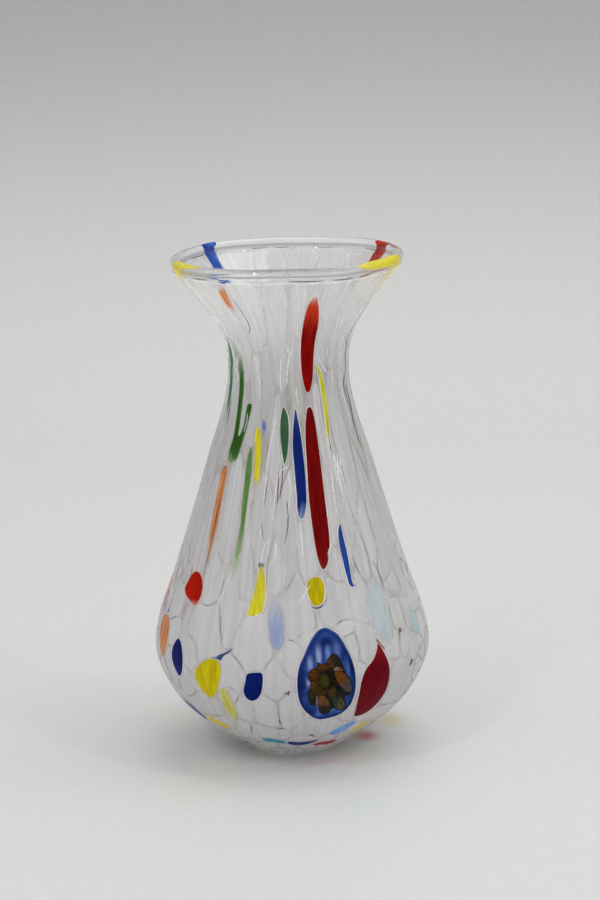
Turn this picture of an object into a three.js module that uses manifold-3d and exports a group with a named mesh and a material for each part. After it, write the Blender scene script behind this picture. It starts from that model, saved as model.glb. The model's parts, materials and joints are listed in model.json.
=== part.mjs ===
// Blown glass vase with a mosaic of coloured glass chips fused into its outer skin.
// Millimetres, +Z up, origin at the centre of the foot, the decorated front faces -Y.
// The vase is three things: one clear blown body, a skin of white chips fused round it,
// and the coloured chips, drawn-out streaks and one murrina slice that sit in that skin.

import * as THREE from 'three';
import { mergeVertices } from 'three/addons/utils/BufferGeometryUtils.js';
import { TessellateModifier } from 'three/addons/modifiers/TessellateModifier.js';
import Module from 'manifold-3d';

// ---- driving dimensions -------------------------------------------------
const HEIGHT = 160;          // foot plane to the top of the lip
const WALL = 3.0;            // blown wall, clear glass and skin together
const SKIN = 1.2;            // thickness of the fused chip skin
const GAP = 0.3;             // clearance kept between pieces that touch
const LIP_RADIUS = 1.7;      // fire-polished bead at the mouth
const LIP_CENTRE_R = 34.76;  // radius of the bead's centre line
const SKIN_Z0 = 1.7;         // the skin starts just above the foot
const SKIN_Z1 = 155.9;       // and stops under the lip
const FOOT_R = 14.0;         // flat, polished foot
const PUNCH_EDGE = 8;        // longest edge of a punch before it is bent
const SEGMENTS = 30;         // facets round the vase

// inside of the base, where more glass is gathered, radius and height
const INNER_BASE = [[40.5, 34.5], [39.2, 28.5], [36.0, 22.0], [31.2, 16.6], [24.5, 11.8],
  [16, 8.4], [8, 7.0], [0, 6.6]];

// outer outline, radius and height
const OUTLINE = [
  [FOOT_R, 0], [15.3, 0.45], [17.2, 1.6], [19.7, 3.2], [24.0, 6.4], [30.6, 11.2], [37.25, 18],
  [41.85, 26], [44.0, 34], [42.4, 44], [38.15, 56], [33.6, 70], [29.15, 84], [25.6, 96],
  [23.0, 104], [20.85, 111], [19.4, 118], [18.95, 124], [19.4, 130], [21.55, 137],
  [25.95, 144], [30.7, 150], [35.2, 155.6], [36.1, 157.0],
];

// heights at which the walls carry a ring of vertices
const RINGS = [SKIN_Z0, 5.5, 10.5, 17.5, 25.5, 33.5, 40.5, 52, 74, 94, 106,
  115, 122, 128.5, 135, 141, 148, SKIN_Z1];

// ---- outline helpers ----------------------------------------------------
const curve = new THREE.SplineCurve(OUTLINE.map(([r, z]) => new THREE.Vector2(r, z)));
const samples = [];
for (let i = 0; i <= 1200; i++) {
  const p = curve.getPoint(i / 1200);
  const t = curve.getTangent(i / 1200);
  samples.push({ r: p.x, z: p.y, nr: t.y, nz: -t.x, tz: t.y });
}

// radius, outward normal and slope of the outline at height z
function outlineAt(z) {
  let lo = 0, hi = samples.length - 1;
  if (z <= samples[lo].z) return samples[lo];
  if (z >= samples[hi].z) return samples[hi];
  while (hi - lo > 1) {
    const m = (lo + hi) >> 1;
    if (samples[m].z <= z) lo = m; else hi = m;
  }
  const a = samples[lo], b = samples[hi], f = (z - a.z) / (b.z - a.z);
  const mix = (k) => a[k] + (b[k] - a[k]) * f;
  const n = Math.hypot(mix('nr'), mix('nz'));
  return { r: mix('r'), z, nr: mix('nr') / n, nz: mix('nz') / n, tz: mix('tz') };
}

// point at a signed distance from the outline, measured along its normal
function offsetPoint(z, d) {
  const o = outlineAt(z);
  return new THREE.Vector2(o.r + o.nr * d, o.z + o.nz * d);
}

// ---- solids -------------------------------------------------------------
const wasm = await Module();
wasm.setup();

function toManifold(geometry) {
  const g = geometry.clone();
  g.deleteAttribute('normal');
  g.deleteAttribute('uv');
  const m = mergeVertices(g, 1e-4);
  const idx = m.index.array, tri = [];
  for (let i = 0; i < idx.length; i += 3) {
    const [a, b, c] = [idx[i], idx[i + 1], idx[i + 2]];
    if (a !== b && b !== c && c !== a) tri.push(a, b, c);
  }
  return new wasm.Manifold(new wasm.Mesh({
    numProp: 3,
    vertProperties: new Float32Array(m.attributes.position.array),
    triVerts: new Uint32Array(tri),
  }));
}

function toGeometry(solid) {
  const mesh = solid.getMesh();
  const n = mesh.numProp, count = mesh.vertProperties.length / n;
  const pos = new Float32Array(count * 3);
  for (let i = 0; i < count; i++) {
    for (let k = 0; k < 3; k++) pos[i * 3 + k] = mesh.vertProperties[i * n + k];
  }
  const g = new THREE.BufferGeometry();
  g.setAttribute('position', new THREE.BufferAttribute(pos, 3));
  g.setIndex(new THREE.BufferAttribute(new Uint32Array(mesh.triVerts), 1));
  g.computeVertexNormals();
  return g;
}

// a lathe turns about Y, the vase stands along Z
function lathe(points) {
  const g = new THREE.LatheGeometry(points, SEGMENTS);
  g.rotateX(Math.PI / 2);
  return g;
}

// closed ring between two distances from the outline
function skinShell(outer, inner) {
  const pts = RINGS.map((z) => offsetPoint(z, outer));
  for (const z of [...RINGS].reverse()) pts.push(offsetPoint(z, inner));
  pts.push(pts[0].clone());
  return lathe(pts);
}

// outline of a chip, moved outwards by a distance measured on the glass
function grow(outline, distance) {
  const flat = outline.map(([a, z]) => {
    const o = outlineAt(z);
    return { ka: o.r * Math.PI / 180, kz: 1 / Math.max(0.15, o.tz) };
  });
  let area = 0;
  outline.forEach(([a, z], i) => {
    const [b, y] = outline[(i + 1) % outline.length];
    area += a * y - b * z;
  });
  const sign = area > 0 ? 1 : -1;
  return outline.map(([a, z], i) => {
    const n = outline.length, p = outline[(i + n - 1) % n], q = outline[(i + 1) % n], k = flat[i];
    const e1 = new THREE.Vector2((a - p[0]) * k.ka, (z - p[1]) * k.kz).normalize();
    const e2 = new THREE.Vector2((q[0] - a) * k.ka, (q[1] - z) * k.kz).normalize();
    const n1 = new THREE.Vector2(e1.y, -e1.x), n2 = new THREE.Vector2(e2.y, -e2.x);
    const b = n1.clone().add(n2);
    if (b.length() < 0.2) b.copy(e1); else b.normalize();
    const reach = sign * distance / Math.max(0.45, b.dot(n1));
    return [a + (b.x * reach) / k.ka, z + (b.y * reach) / k.kz];
  });
}

// a punch with the chip's outline, bent round the vase, reaching through the skin
function punch(outline, margin) {
  const pts = margin ? grow(outline, margin) : outline;
  const wide = outlineAt(pts[0][1]).r * Math.PI / 180;
  const shape = new THREE.Shape(pts.map(([a, z]) => new THREE.Vector2(a * wide, z)));
  let g = new THREE.ExtrudeGeometry(shape, { depth: 1, steps: 1, bevelEnabled: false });
  g = new TessellateModifier(PUNCH_EDGE, 8).modify(g);
  const p = g.attributes.position;
  for (let i = 0; i < p.count; i++) {
    const a = p.getX(i) / wide * Math.PI / 180;
    const q = offsetPoint(Math.min(157, Math.max(0.2, p.getY(i))), p.getZ(i) > 0.5 ? 2.6 : -2.6);
    p.setXYZ(i, q.x * Math.sin(a), -q.x * Math.cos(a), q.y);
  }
  return toManifold(g);
}

// ---- the chips: name, colour, outline as [degrees round from the front, height] ----
const INLAYS = [
  ['rim_blue_streak', 0x3f68a8, [[-137.6, 155.4], [-130.6, 155.4], [-131.6, 153.2], [-134.0, 151.6], [-136.6, 152.6]]],
  ['rim_red_streak', 0xa0322e, [[124.4, 155.4], [122.6, 152.8], [118.6, 151.2], [115.4, 153.0], [114.6, 155.4]]],
  ['rim_yellow_left', 0xc9c24a, [[-79.0, 155.2], [-63.0, 155.2], [-64.0, 152.8], [-70.0, 150.6], [-76.0, 150.4]]],
  ['rim_yellow_right', 0xc9c24a, [[76.0, 155.2], [79.0, 152.0], [79.0, 148.4], [75.0, 145.9], [71.0, 146.2], [72.0, 149.4], [66.0, 152.4], [58.0, 155.3]]],
  ['orange_streak_rim', 0xd98a55, [[-35.1, 154.7], [-34.0, 153.4], [-36.4, 145.3], [-39.3, 146.2], [-40.7, 148.5], [-40.2, 151.3]]],
  ['red_streak_upper', 0x8a0c0a, [[15.8, 151.3], [21.1, 145.2], [23.7, 139.8], [24.0, 125.7], [22.4, 121.4], [19.3, 118.8], [16.6, 119.1], [13.6, 122.2], [10.9, 134.1], [11.7, 144.4], [13.0, 149.0]]],
  ['yellow_thread_neck', 0xc2bb35, [[27.7, 127.5], [31.6, 125.2], [35.2, 120.9], [36.2, 115.9], [35.4, 109.8], [32.1, 102.2], [30.3, 105.6], [31.9, 116.1]]],
  ['green_edge_streak', 0x3a5f3c, [[-65.4, 135.2], [-63.5, 133.3], [-63.6, 120.8], [-61.4, 108.5], [-63.4, 107.4], [-70.8, 112.8], [-76.4, 126.8]]],
  ['green_forked_streak', 0x3f6a28, [[-50.8, 131.4], [-47.4, 126.8], [-46.2, 120.5], [-43.9, 105.0], [-41.1, 107.8], [-39.5, 114.9], [-35.0, 115.1], [-37.8, 105.3], [-41.6, 97.9], [-47.8, 96.6], [-50.4, 99.8], [-49.5, 104.1], [-53.1, 121.7], [-54.1, 126.4]]],
  ['orange_streak_left', 0xcf8d55, [[-47.7, 95.7], [-46.9, 76.3], [-48.5, 64.3], [-50.5, 68.4], [-52.0, 75.2], [-53.3, 95.0]]],
  ['green_streak_long', 0x58713b, [[-30.4, 102.7], [-28.4, 101.0], [-27.0, 93.3], [-27.3, 77.8], [-29.0, 65.2], [-31.2, 62.7], [-31.6, 67.1], [-30.7, 73.1], [-30.6, 79.1], [-31.8, 99.9]]],
  ['yellow_streak_left', 0xc4bc30, [[-27.0, 108.7], [-23.7, 107.0], [-21.3, 101.8], [-20.6, 95.9], [-22.2, 91.7], [-24.3, 91.6], [-28.4, 106.3]]],
  ['blue_dot_neck', 0x4060a0, [[-22.6, 110.6], [-19.6, 109.8], [-18.8, 108.0], [-20.3, 107.1], [-22.3, 107.9], [-23.2, 109.4]]],
  ['sea_green_spindle', 0x35603a, [[-4.9, 114.7], [-1.7, 112.9], [-0.1, 109.3], [-0.7, 103.5], [-2.2, 99.1], [-3.6, 97.6], [-5.7, 101.4], [-7.5, 107.9], [-6.9, 112.6]]],
  ['blue_streak_centre', 0x123a8c, [[5.9, 114.4], [9.5, 105.7], [10.7, 92.4], [10.0, 85.6], [8.1, 82.1], [5.9, 81.3], [4.3, 83.7], [2.4, 102.9], [3.5, 109.3]]],
  ['red_streak_lower', 0x7a0606, [[17.2, 114.5], [20.4, 114.1], [22.2, 111.0], [22.1, 75.3], [20.6, 70.4], [18.3, 67.0], [16.3, 66.2], [13.2, 73.4], [11.7, 88.5], [12.5, 104.8], [14.1, 110.6]]],
  ['blue_streak_right', 0x2a4c9a, [[29.9, 79.3], [31.2, 71.1], [31.2, 62.2], [31.6, 60.0], [29.5, 60.5], [28.5, 63.9], [27.2, 72.9], [27.8, 77.0]]],
  ['red_orange_chip', 0xc03014, [[-55.2, 62.9], [-51.2, 62.2], [-48.5, 60.1], [-47.5, 57.2], [-49.9, 52.9], [-59.3, 54.9], [-61.9, 56.7], [-58.9, 61.5]]],
  ['yellow_triangle_chip', 0xcfc336, [[-15.8, 68.6], [-13.5, 65.1], [-12.8, 57.2], [-13.7, 54.3], [-16.8, 53.2], [-20.1, 52.9]]],
  ['yellow_centre_chip', 0xd2c22c, [[10.8, 64.3], [13.6, 64.3], [15.7, 62.7], [16.2, 59.8], [15.0, 57.2], [12.4, 56.0], [9.8, 56.3], [7.3, 61.6], [8.4, 63.5]]],
  ['pale_blue_chip', 0x8aa6cc, [[-9.3, 58.5], [-6.7, 57.7], [-3.5, 49.4], [-3.5, 45.3], [-6.0, 43.4], [-8.3, 44.4], [-9.9, 48.1], [-10.8, 56.1]]],
  ['aqua_chip_right', 0xb9cdcf, [[44.3, 61.6], [47.2, 59.1], [49.1, 54.0], [48.9, 48.6], [47.8, 43.8], [44.0, 41.4], [40.0, 44.1], [37.2, 48.1], [36.7, 52.6], [39.0, 57.7]]],
  ['aqua_chip_edge', 0x9fc0c4, [[67.6, 48.4], [69.8, 45.4], [68.6, 40.1], [65.1, 40.2], [63.0, 43.9], [63.1, 47.0]]],
  ['orange_chip_edge', 0xc98650, [[-68.5, 46.2], [-65.2, 43.0], [-65.0, 39.2], [-67.2, 34.5], [-70.5, 33.8], [-77.2, 40.5], [-77.8, 44.0], [-74.9, 46.2]]],
  ['blue_chip_left', 0x0d2a78, [[-56.0, 42.2], [-53.0, 40.5], [-51.1, 36.1], [-52.2, 32.0], [-55.2, 30.0], [-57.4, 31.9], [-59.8, 35.8], [-59.2, 39.4]]],
  ['yellow_chip_lower_left', 0xd0be0c, [[-31.6, 38.5], [-30.2, 36.0], [-31.4, 31.6], [-34.7, 27.2], [-37.9, 25.4], [-41.1, 26.9], [-43.4, 29.8], [-43.9, 33.5], [-40.8, 36.5], [-35.4, 39.0]]],
  ['pale_yellow_chip', 0xcdc87a, [[-28.6, 29.9], [-26.2, 22.7], [-26.9, 19.1], [-30.5, 17.9], [-32.3, 24.2], [-31.2, 29.7]]],
  ['blue_square_chip', 0x0a2a80, [[-12.4, 36.4], [-12.3, 31.6], [-14.5, 27.8], [-17.6, 26.5], [-19.8, 27.4], [-20.7, 29.6], [-18.6, 35.8]]],
  ['murrina_ground', 0x2c4f9e, [[14.6, 49.6], [20.1, 47.1], [22.9, 43.3], [25.8, 35.9], [26.7, 27.9], [25.6, 23.4], [22.5, 20.8], [17.6, 19.6], [11.4, 19.3], [6.5, 21.9], [3.0, 25.8], [1.6, 32.2], [2.5, 38.3], [6.3, 44.5], [11.2, 49.0]]],
  ['murrina_petals', 0x4a3418, [[16.5, 41.3], [20.0, 39.7], [21.9, 36.9], [23.7, 33.2], [24.4, 29.3], [21.1, 23.2], [16.9, 22.4], [12.5, 23.1], [8.0, 25.7], [5.9, 29.4], [5.4, 33.3], [6.3, 36.6], [8.6, 38.9], [12.1, 40.7]]],
  ['murrina_core', 0x3c3a18, [[13.2, 37.1], [15.9, 36.2], [17.3, 33.9], [16.1, 31.3], [13.5, 30.4], [10.3, 31.5], [9.0, 34.3], [10.3, 36.4]]],
  ['red_chip_right', 0x7c0a16, [[38.2, 42.6], [43.1, 34.9], [43.9, 25.2], [41.4, 21.4], [36.6, 18.6], [30.5, 18.4], [28.8, 31.9], [31.1, 35.7], [34.6, 37.9]]],
  ['base_blue_chip', 0x2f4f9a, [[-66.0, 19.2], [-60.0, 19.4], [-54.6, 16.8], [-53.8, 14.2], [-58.0, 13.6], [-64.0, 16.0]]],
  ['base_yellow_chip', 0xc9be4a, [[-52.0, 16.6], [-45.0, 16.2], [-39.0, 14.8], [-37.6, 12.8], [-42.0, 12.2], [-49.0, 13.4]]],
  ['base_light_blue_chip', 0x8fb0d6, [[20.6, 11.8], [26.0, 15.0], [31.0, 16.2], [34.0, 15.6], [31.0, 12.4], [25.0, 10.6]]],
  ['base_yellow_chip_right', 0xc9be4a, [[46.4, 14.2], [45.0, 11.0], [40.0, 9.6], [37.4, 10.8], [39.0, 13.6], [43.0, 14.6]]],
  ['base_teal_sliver', 0x3f8f96, [[-20.6, 9.8], [-14.0, 10.2], [-6.2, 9.0], [-6.6, 7.2], [-20.0, 8.2]]],
  ['base_navy_sliver', 0x1c2c66, [[16.2, 9.4], [14.4, 7.4], [6.0, 6.0], [-3.4, 6.8], [-4.0, 8.6], [4.0, 8.2], [12.6, 8.6]]],
  ['base_red_chip', 0xa02a2c, [[15.4, 5.2], [29.0, 4.6], [35.0, 5.0], [34.0, 6.7], [25.0, 7.0], [17.0, 6.6]]],
  ['red_streak_back', 0x8a0c0a, [[158.5, 104.0], [161.5, 103.0], [164.4, 94.0], [165.6, 80.0], [164.2, 68.0], [161.6, 63.5], [158.8, 66.0], [157.0, 78.0]]],
  ['blue_streak_back', 0x123a8c, [[199.6, 101.0], [201.6, 100.0], [203.4, 90.0], [203.2, 78.0], [201.4, 70.0], [199.2, 73.0], [198.4, 84.0]]],
  ['yellow_streak_back', 0xc4bc30, [[131.0, 97.0], [133.0, 96.0], [134.6, 88.0], [134.2, 79.0], [132.2, 74.0], [130.0, 78.0], [129.6, 88.0]]],
  ['green_streak_back', 0x3f6a28, [[233.6, 102.0], [235.4, 101.0], [237.6, 78.0], [236.4, 68.0], [234.2, 65.0], [232.6, 72.0], [232.0, 84.0]]],
  ['orange_streak_back', 0xcf8d55, [[104.0, 104.0], [106.0, 103.0], [107.6, 95.0], [107.2, 86.0], [105.4, 81.0], [103.4, 86.0], [102.8, 96.0]]],
  ['sea_green_streak_back', 0x35603a, [[180.0, 121.5], [183.6, 119.0], [185.4, 111.0], [185.0, 104.0], [182.4, 100.0], [179.4, 104.0], [178.0, 112.0]]],
  ['blue_chip_back', 0x0d2a78, [[140.6, 58.6], [144.6, 56.0], [145.6, 49.6], [142.6, 44.6], [138.0, 44.4], [135.4, 49.0], [136.4, 57.0]]],
  ['yellow_triangle_back', 0xcfc336, [[184.6, 57.0], [189.6, 44.0], [188.6, 40.2], [182.6, 39.4], [178.6, 41.0]]],
  ['red_orange_chip_back', 0xc03014, [[212.0, 60.6], [216.4, 61.6], [220.0, 58.4], [219.6, 52.6], [216.0, 49.0], [211.6, 50.4], [209.8, 55.6]]],
  ['aqua_chip_back', 0xa9c6c8, [[165.6, 42.0], [170.0, 38.0], [170.4, 31.0], [166.4, 26.4], [161.4, 27.6], [160.6, 40.6]]],
  ['green_chip_back', 0x3f6a28, [[251.8, 46.4], [255.6, 42.4], [255.4, 35.0], [251.6, 30.6], [247.4, 32.4], [245.4, 38.6], [247.6, 45.0]]],
  ['yellow_chip_side', 0xd2c22c, [[94.4, 65.6], [98.0, 62.4], [98.2, 56.0], [95.0, 51.8], [91.4, 53.0], [89.2, 58.6], [91.0, 64.0]]],
  ['red_chip_back', 0x7c0a16, [[122.6, 39.6], [126.4, 35.0], [125.8, 27.6], [120.6, 23.8], [115.4, 26.0], [113.6, 32.6], [117.0, 38.4]]],
  ['blue_chip_back_low', 0x0a2a80, [[203.6, 32.2], [207.4, 28.4], [207.0, 22.8], [202.6, 19.8], [198.0, 21.6], [196.6, 26.6], [199.0, 31.0]]],
  ['yellow_chip_back_low', 0xd0be0c, [[230.6, 30.0], [234.4, 25.4], [233.4, 19.8], [228.0, 17.4], [223.4, 20.2], [222.2, 25.0], [225.0, 29.0]]],
  ['orange_chip_side', 0xc98650, [[270.6, 58.0], [273.6, 59.0], [276.6, 55.0], [277.0, 47.6], [274.2, 43.6], [271.0, 45.4], [269.4, 51.4]]],
  ['blue_streak_side', 0x2a4c9a, [[86.6, 96.0], [88.4, 95.0], [90.2, 86.0], [91.2, 76.0], [90.2, 70.0], [88.2, 73.0], [86.8, 84.0]]],
];

// pieces that sit inside another inlay instead of in the white skin
const INSIDE = { murrina_petals: 'murrina_ground', murrina_core: 'murrina_petals' };

const group = new THREE.Group();
function add(name, geometry, colour, roughness, opacity) {
  const material = new THREE.MeshStandardMaterial({
    color: colour, roughness, metalness: 0, transparent: opacity < 1, opacity,
  });
  const mesh = new THREE.Mesh(geometry, material);
  mesh.name = name;
  group.add(mesh);
}

// ---- clear blown body: foot, recessed wall behind the skin, full lip, hollow inside ----
{
  const recess = SKIN + GAP;
  const pts = [new THREE.Vector2(0, 0), new THREE.Vector2(FOOT_R, 0)];
  pts.push(offsetPoint(0.45, 0));
  pts.push(offsetPoint(SKIN_Z0 - 0.45, 0));
  pts.push(offsetPoint(SKIN_Z0 - 0.45, -recess));
  for (const z of RINGS.slice(1, -1)) pts.push(offsetPoint(z, -recess));
  pts.push(offsetPoint(SKIN_Z1 + 0.35, -recess));
  pts.push(offsetPoint(SKIN_Z1 + 0.35, 0));
  const centreZ = HEIGHT - LIP_RADIUS;
  for (let i = 0; i <= 8; i++) {
    const a = (-28 + i * (236 / 8)) * Math.PI / 180;
    pts.push(new THREE.Vector2(LIP_CENTRE_R + LIP_RADIUS * Math.cos(a), centreZ + LIP_RADIUS * Math.sin(a)));
  }
  for (const z of RINGS.filter((h) => h > 36 && h < 152).reverse()) pts.push(offsetPoint(z, -WALL));
  for (const [r, z] of INNER_BASE) pts.push(new THREE.Vector2(r, z));
  add('clear_glass_body', lathe(pts), 0xe8ecea, 0.05, 0.35);
}

// ---- white chip skin with a hole for every inlay, and the inlays in them ----
{
  const shell = toManifold(skinShell(0, -SKIN));
  let white = shell;
  const outlines = new Map(INLAYS.map(([name, , outline]) => [name, outline]));
  for (const [name, , outline] of INLAYS) {
    if (!INSIDE[name]) white = white.subtract(punch(outline, GAP));
  }
  add('white_chip_layer', toGeometry(white), 0xe6e6e4, 0.12, 0.8);
  for (const [name, colour, outline] of INLAYS) {
    let chip = shell.intersect(punch(outline, 0));
    for (const [inner, holder] of Object.entries(INSIDE)) {
      if (holder === name) chip = chip.subtract(punch(outlines.get(inner), GAP));
    }
    add(name, toGeometry(chip), colour, 0.08, 1);
  }
}

export default group;
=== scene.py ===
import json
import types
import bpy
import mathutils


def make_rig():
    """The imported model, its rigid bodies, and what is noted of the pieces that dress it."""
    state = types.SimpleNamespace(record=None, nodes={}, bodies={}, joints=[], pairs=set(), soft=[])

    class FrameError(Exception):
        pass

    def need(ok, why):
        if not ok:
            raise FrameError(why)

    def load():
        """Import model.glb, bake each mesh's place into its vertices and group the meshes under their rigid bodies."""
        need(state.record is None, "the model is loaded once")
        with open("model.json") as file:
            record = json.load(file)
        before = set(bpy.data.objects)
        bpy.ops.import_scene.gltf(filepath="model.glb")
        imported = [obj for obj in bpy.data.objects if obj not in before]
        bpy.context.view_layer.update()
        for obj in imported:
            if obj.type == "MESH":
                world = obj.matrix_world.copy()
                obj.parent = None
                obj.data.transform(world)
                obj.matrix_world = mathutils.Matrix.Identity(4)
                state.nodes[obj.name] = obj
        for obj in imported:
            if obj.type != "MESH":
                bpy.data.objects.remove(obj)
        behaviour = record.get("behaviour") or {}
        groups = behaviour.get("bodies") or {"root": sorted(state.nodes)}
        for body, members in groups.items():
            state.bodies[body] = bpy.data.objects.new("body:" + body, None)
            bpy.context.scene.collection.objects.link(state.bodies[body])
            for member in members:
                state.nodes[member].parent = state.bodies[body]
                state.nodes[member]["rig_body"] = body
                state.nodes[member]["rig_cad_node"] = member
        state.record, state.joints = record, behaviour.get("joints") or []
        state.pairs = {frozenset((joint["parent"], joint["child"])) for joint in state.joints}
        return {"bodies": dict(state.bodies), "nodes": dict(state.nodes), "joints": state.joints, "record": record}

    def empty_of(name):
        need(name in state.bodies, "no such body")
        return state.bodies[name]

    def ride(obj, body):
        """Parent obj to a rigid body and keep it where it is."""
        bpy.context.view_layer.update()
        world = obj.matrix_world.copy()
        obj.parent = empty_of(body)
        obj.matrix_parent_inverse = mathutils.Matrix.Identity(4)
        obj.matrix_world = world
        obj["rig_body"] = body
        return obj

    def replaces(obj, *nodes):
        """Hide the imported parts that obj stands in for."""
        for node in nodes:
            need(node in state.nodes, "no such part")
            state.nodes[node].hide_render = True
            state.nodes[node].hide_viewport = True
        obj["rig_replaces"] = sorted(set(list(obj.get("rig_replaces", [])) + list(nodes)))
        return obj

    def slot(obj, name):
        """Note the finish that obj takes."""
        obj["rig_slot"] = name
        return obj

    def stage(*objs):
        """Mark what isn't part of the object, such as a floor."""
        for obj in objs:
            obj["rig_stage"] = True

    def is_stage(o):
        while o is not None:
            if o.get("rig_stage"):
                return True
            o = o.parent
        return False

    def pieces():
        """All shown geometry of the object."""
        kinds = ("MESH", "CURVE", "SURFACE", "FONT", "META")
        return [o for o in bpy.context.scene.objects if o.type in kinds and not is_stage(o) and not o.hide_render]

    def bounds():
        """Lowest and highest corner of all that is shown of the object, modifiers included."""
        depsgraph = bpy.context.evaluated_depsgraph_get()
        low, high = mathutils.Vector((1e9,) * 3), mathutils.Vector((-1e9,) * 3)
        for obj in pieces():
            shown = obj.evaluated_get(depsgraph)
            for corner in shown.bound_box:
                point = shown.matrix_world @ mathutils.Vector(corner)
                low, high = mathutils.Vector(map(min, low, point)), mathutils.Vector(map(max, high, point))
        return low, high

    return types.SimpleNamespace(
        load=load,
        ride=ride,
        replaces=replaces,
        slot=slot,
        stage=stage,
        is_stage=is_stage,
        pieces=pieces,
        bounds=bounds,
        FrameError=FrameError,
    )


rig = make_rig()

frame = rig.load()

import json
import math

import bpy
import numpy as np
from mathutils import Matrix, Vector
from mathutils.geometry import delaunay_2d_cdt

cad_low, cad_high = [list(map(float, v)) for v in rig.bounds()]
scene = bpy.context.scene
RNG = np.random.default_rng(20)
MM = 0.001
TOP_POWER, WORLD_FRONT, WORLD_SIDE = 4.5, 0.76, 0.86
MILK_LOW, MILK_HIGH = (0.715, 0.71, 0.715, 1), (0.765, 0.76, 0.77, 1)

# ---------------------------------------------------------------- the vase's outline, mm
LIP_R, LIP_CENTRE = 1.7, (34.76, 158.3)
WALL = 3.0
OUTLINE = [
    (14.0, 0), (15.3, 0.45), (17.2, 1.6), (19.7, 3.2), (24.0, 6.4), (30.6, 11.2), (37.25, 18),
    (41.85, 26), (44.0, 34), (42.4, 44), (38.15, 56), (33.6, 70), (29.15, 84), (25.6, 96),
    (23.0, 104), (20.85, 111), (19.4, 118), (18.95, 124), (19.4, 130), (21.55, 137),
    (25.95, 144), (30.7, 150), (35.2, 155.6), (36.1, 157.0),
]
INNER_BASE = [(40.5, 34.5), (39.2, 28.5), (36.0, 22.0), (31.2, 16.6), (24.5, 11.8), (16, 8.4), (8, 7.0), (0.0, 6.6)]


def catmull(points, per=60):
    """Points and tangents along a uniform Catmull-Rom curve."""
    P = np.array(points, float)
    n = len(P)
    out, tan = [], []
    for i in range(n - 1):
        p0, p1, p2, p3 = P[max(i - 1, 0)], P[i], P[i + 1], P[min(i + 2, n - 1)]
        v0, v1 = (p2 - p0) / 2, (p3 - p1) / 2
        t = np.linspace(0, 1, per, endpoint=i == n - 2)[:, None]
        out.append((2 * p1 - 2 * p2 + v0 + v1) * t**3 + (-3 * p1 + 3 * p2 - 2 * v0 - v1) * t**2 + v0 * t + p1)
        tan.append(3 * (2 * p1 - 2 * p2 + v0 + v1) * t**2 + 2 * (-3 * p1 + 3 * p2 - 2 * v0 - v1) * t + v0)
    return np.concatenate(out), np.concatenate(tan)


def smoothstep(a, b, x):
    t = np.clip((np.asarray(x, float) - a) / (b - a), 0, 1)
    return t * t * (3 - 2 * t)


# the outer skin runs from the foot's edge up the wall and over the lip to the inside of the mouth
wall_pts, wall_tan = catmull(OUTLINE)
keep = wall_pts[:, 1] < 156.2
wall_pts, wall_tan = wall_pts[keep], wall_tan[keep]
arc_a = np.radians(np.linspace(-30, 205, 60))
arc = np.stack([LIP_CENTRE[0] + LIP_R * np.cos(arc_a), LIP_CENTRE[1] + LIP_R * np.sin(arc_a)], 1)
arc_n = np.stack([np.cos(arc_a), np.sin(arc_a)], 1)
wall_n = np.stack([wall_tan[:, 1], -wall_tan[:, 0]], 1)
wall_n /= np.linalg.norm(wall_n, axis=1)[:, None]
PATH = np.concatenate([wall_pts, arc])
NORM = np.concatenate([wall_n, arc_n])
for _ in range(40):  # the wall flows into the lip
    NORM[1:-1] = NORM[1:-1] * 0.5 + (NORM[:-2] + NORM[2:]) * 0.25
    NORM /= np.linalg.norm(NORM, axis=1)[:, None]
STEP = np.concatenate([[0], np.cumsum(np.linalg.norm(np.diff(PATH, axis=0), axis=1))])
S_WALL = STEP[len(wall_pts) - 1]
S_LIP = float(np.interp(90, np.degrees(arc_a), STEP[len(wall_pts):]))
S_END = STEP[-1]


def s_of(z):
    """Length along the skin at height z on the outside of the wall."""
    return np.interp(z, wall_pts[:, 1], STEP[: len(wall_pts)])


def r_of(s):
    return np.interp(s, STEP, PATH[:, 0])


def z_of(s):
    return np.interp(s, STEP, PATH[:, 1])


# slight hand-made irregularity, the same for every piece, so that nothing comes apart
RIPPLE = [(int(k), float(a), float(p)) for k, a, p in zip(
    RNG.integers(7, 27, 26), RNG.uniform(0.4, 1.0, 26), RNG.uniform(0, 6.283, 26))]


def settle(x, y, z):
    """Bends points, mm, by the vase's unevenness: a tilted, slightly wavy mouth and a body that isn't quite round."""
    th = np.arctan2(x, -y)
    up = smoothstep(134, 158, z)
    belly = smoothstep(3, 20, z) * (1 - smoothstep(100, 140, z))
    k = 1 + 0.0022 * belly * np.cos(2 * th + 0.7) + 0.006 * up * np.cos(2 * th + 2.2) + 0.003 * up * np.cos(3 * th)
    dz = up * (0.62 * np.sin(th) - 0.25 + 0.16 * np.cos(3 * th + 1.1) + 0.12 * np.cos(5 * th + 0.4) + 0.07 * np.cos(8 * th))
    return x * k, y * k, z + dz


def ripple(th):
    """Unevenness round the wall left by the drawn-out chips, about -1 to 1."""
    v = 0
    for k, a, p in RIPPLE:
        v = v + a * np.cos(k * th + p)
    return v / 3.0


def place(th, s, off):
    """Metres, for an angle round from the front, a length along the skin, and a distance out from it, mm."""
    th, s, off = np.broadcast_arrays(np.asarray(th, float), np.asarray(s, float), np.asarray(off, float))
    r, z = r_of(s), z_of(s)
    nr, nz = np.interp(s, STEP, NORM[:, 0]), np.interp(s, STEP, NORM[:, 1])
    rough = 0.055 * ripple(th) * smoothstep(52, 110, z) * (1 - 0.75 * smoothstep(150, 158, z))
    o = off + rough
    x, y, zz = (r + nr * o) * np.sin(th), -(r + nr * o) * np.cos(th), z + nz * o
    x, y, zz = settle(x, y, zz)
    return np.stack([x, y, zz], -1) * MM


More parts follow.
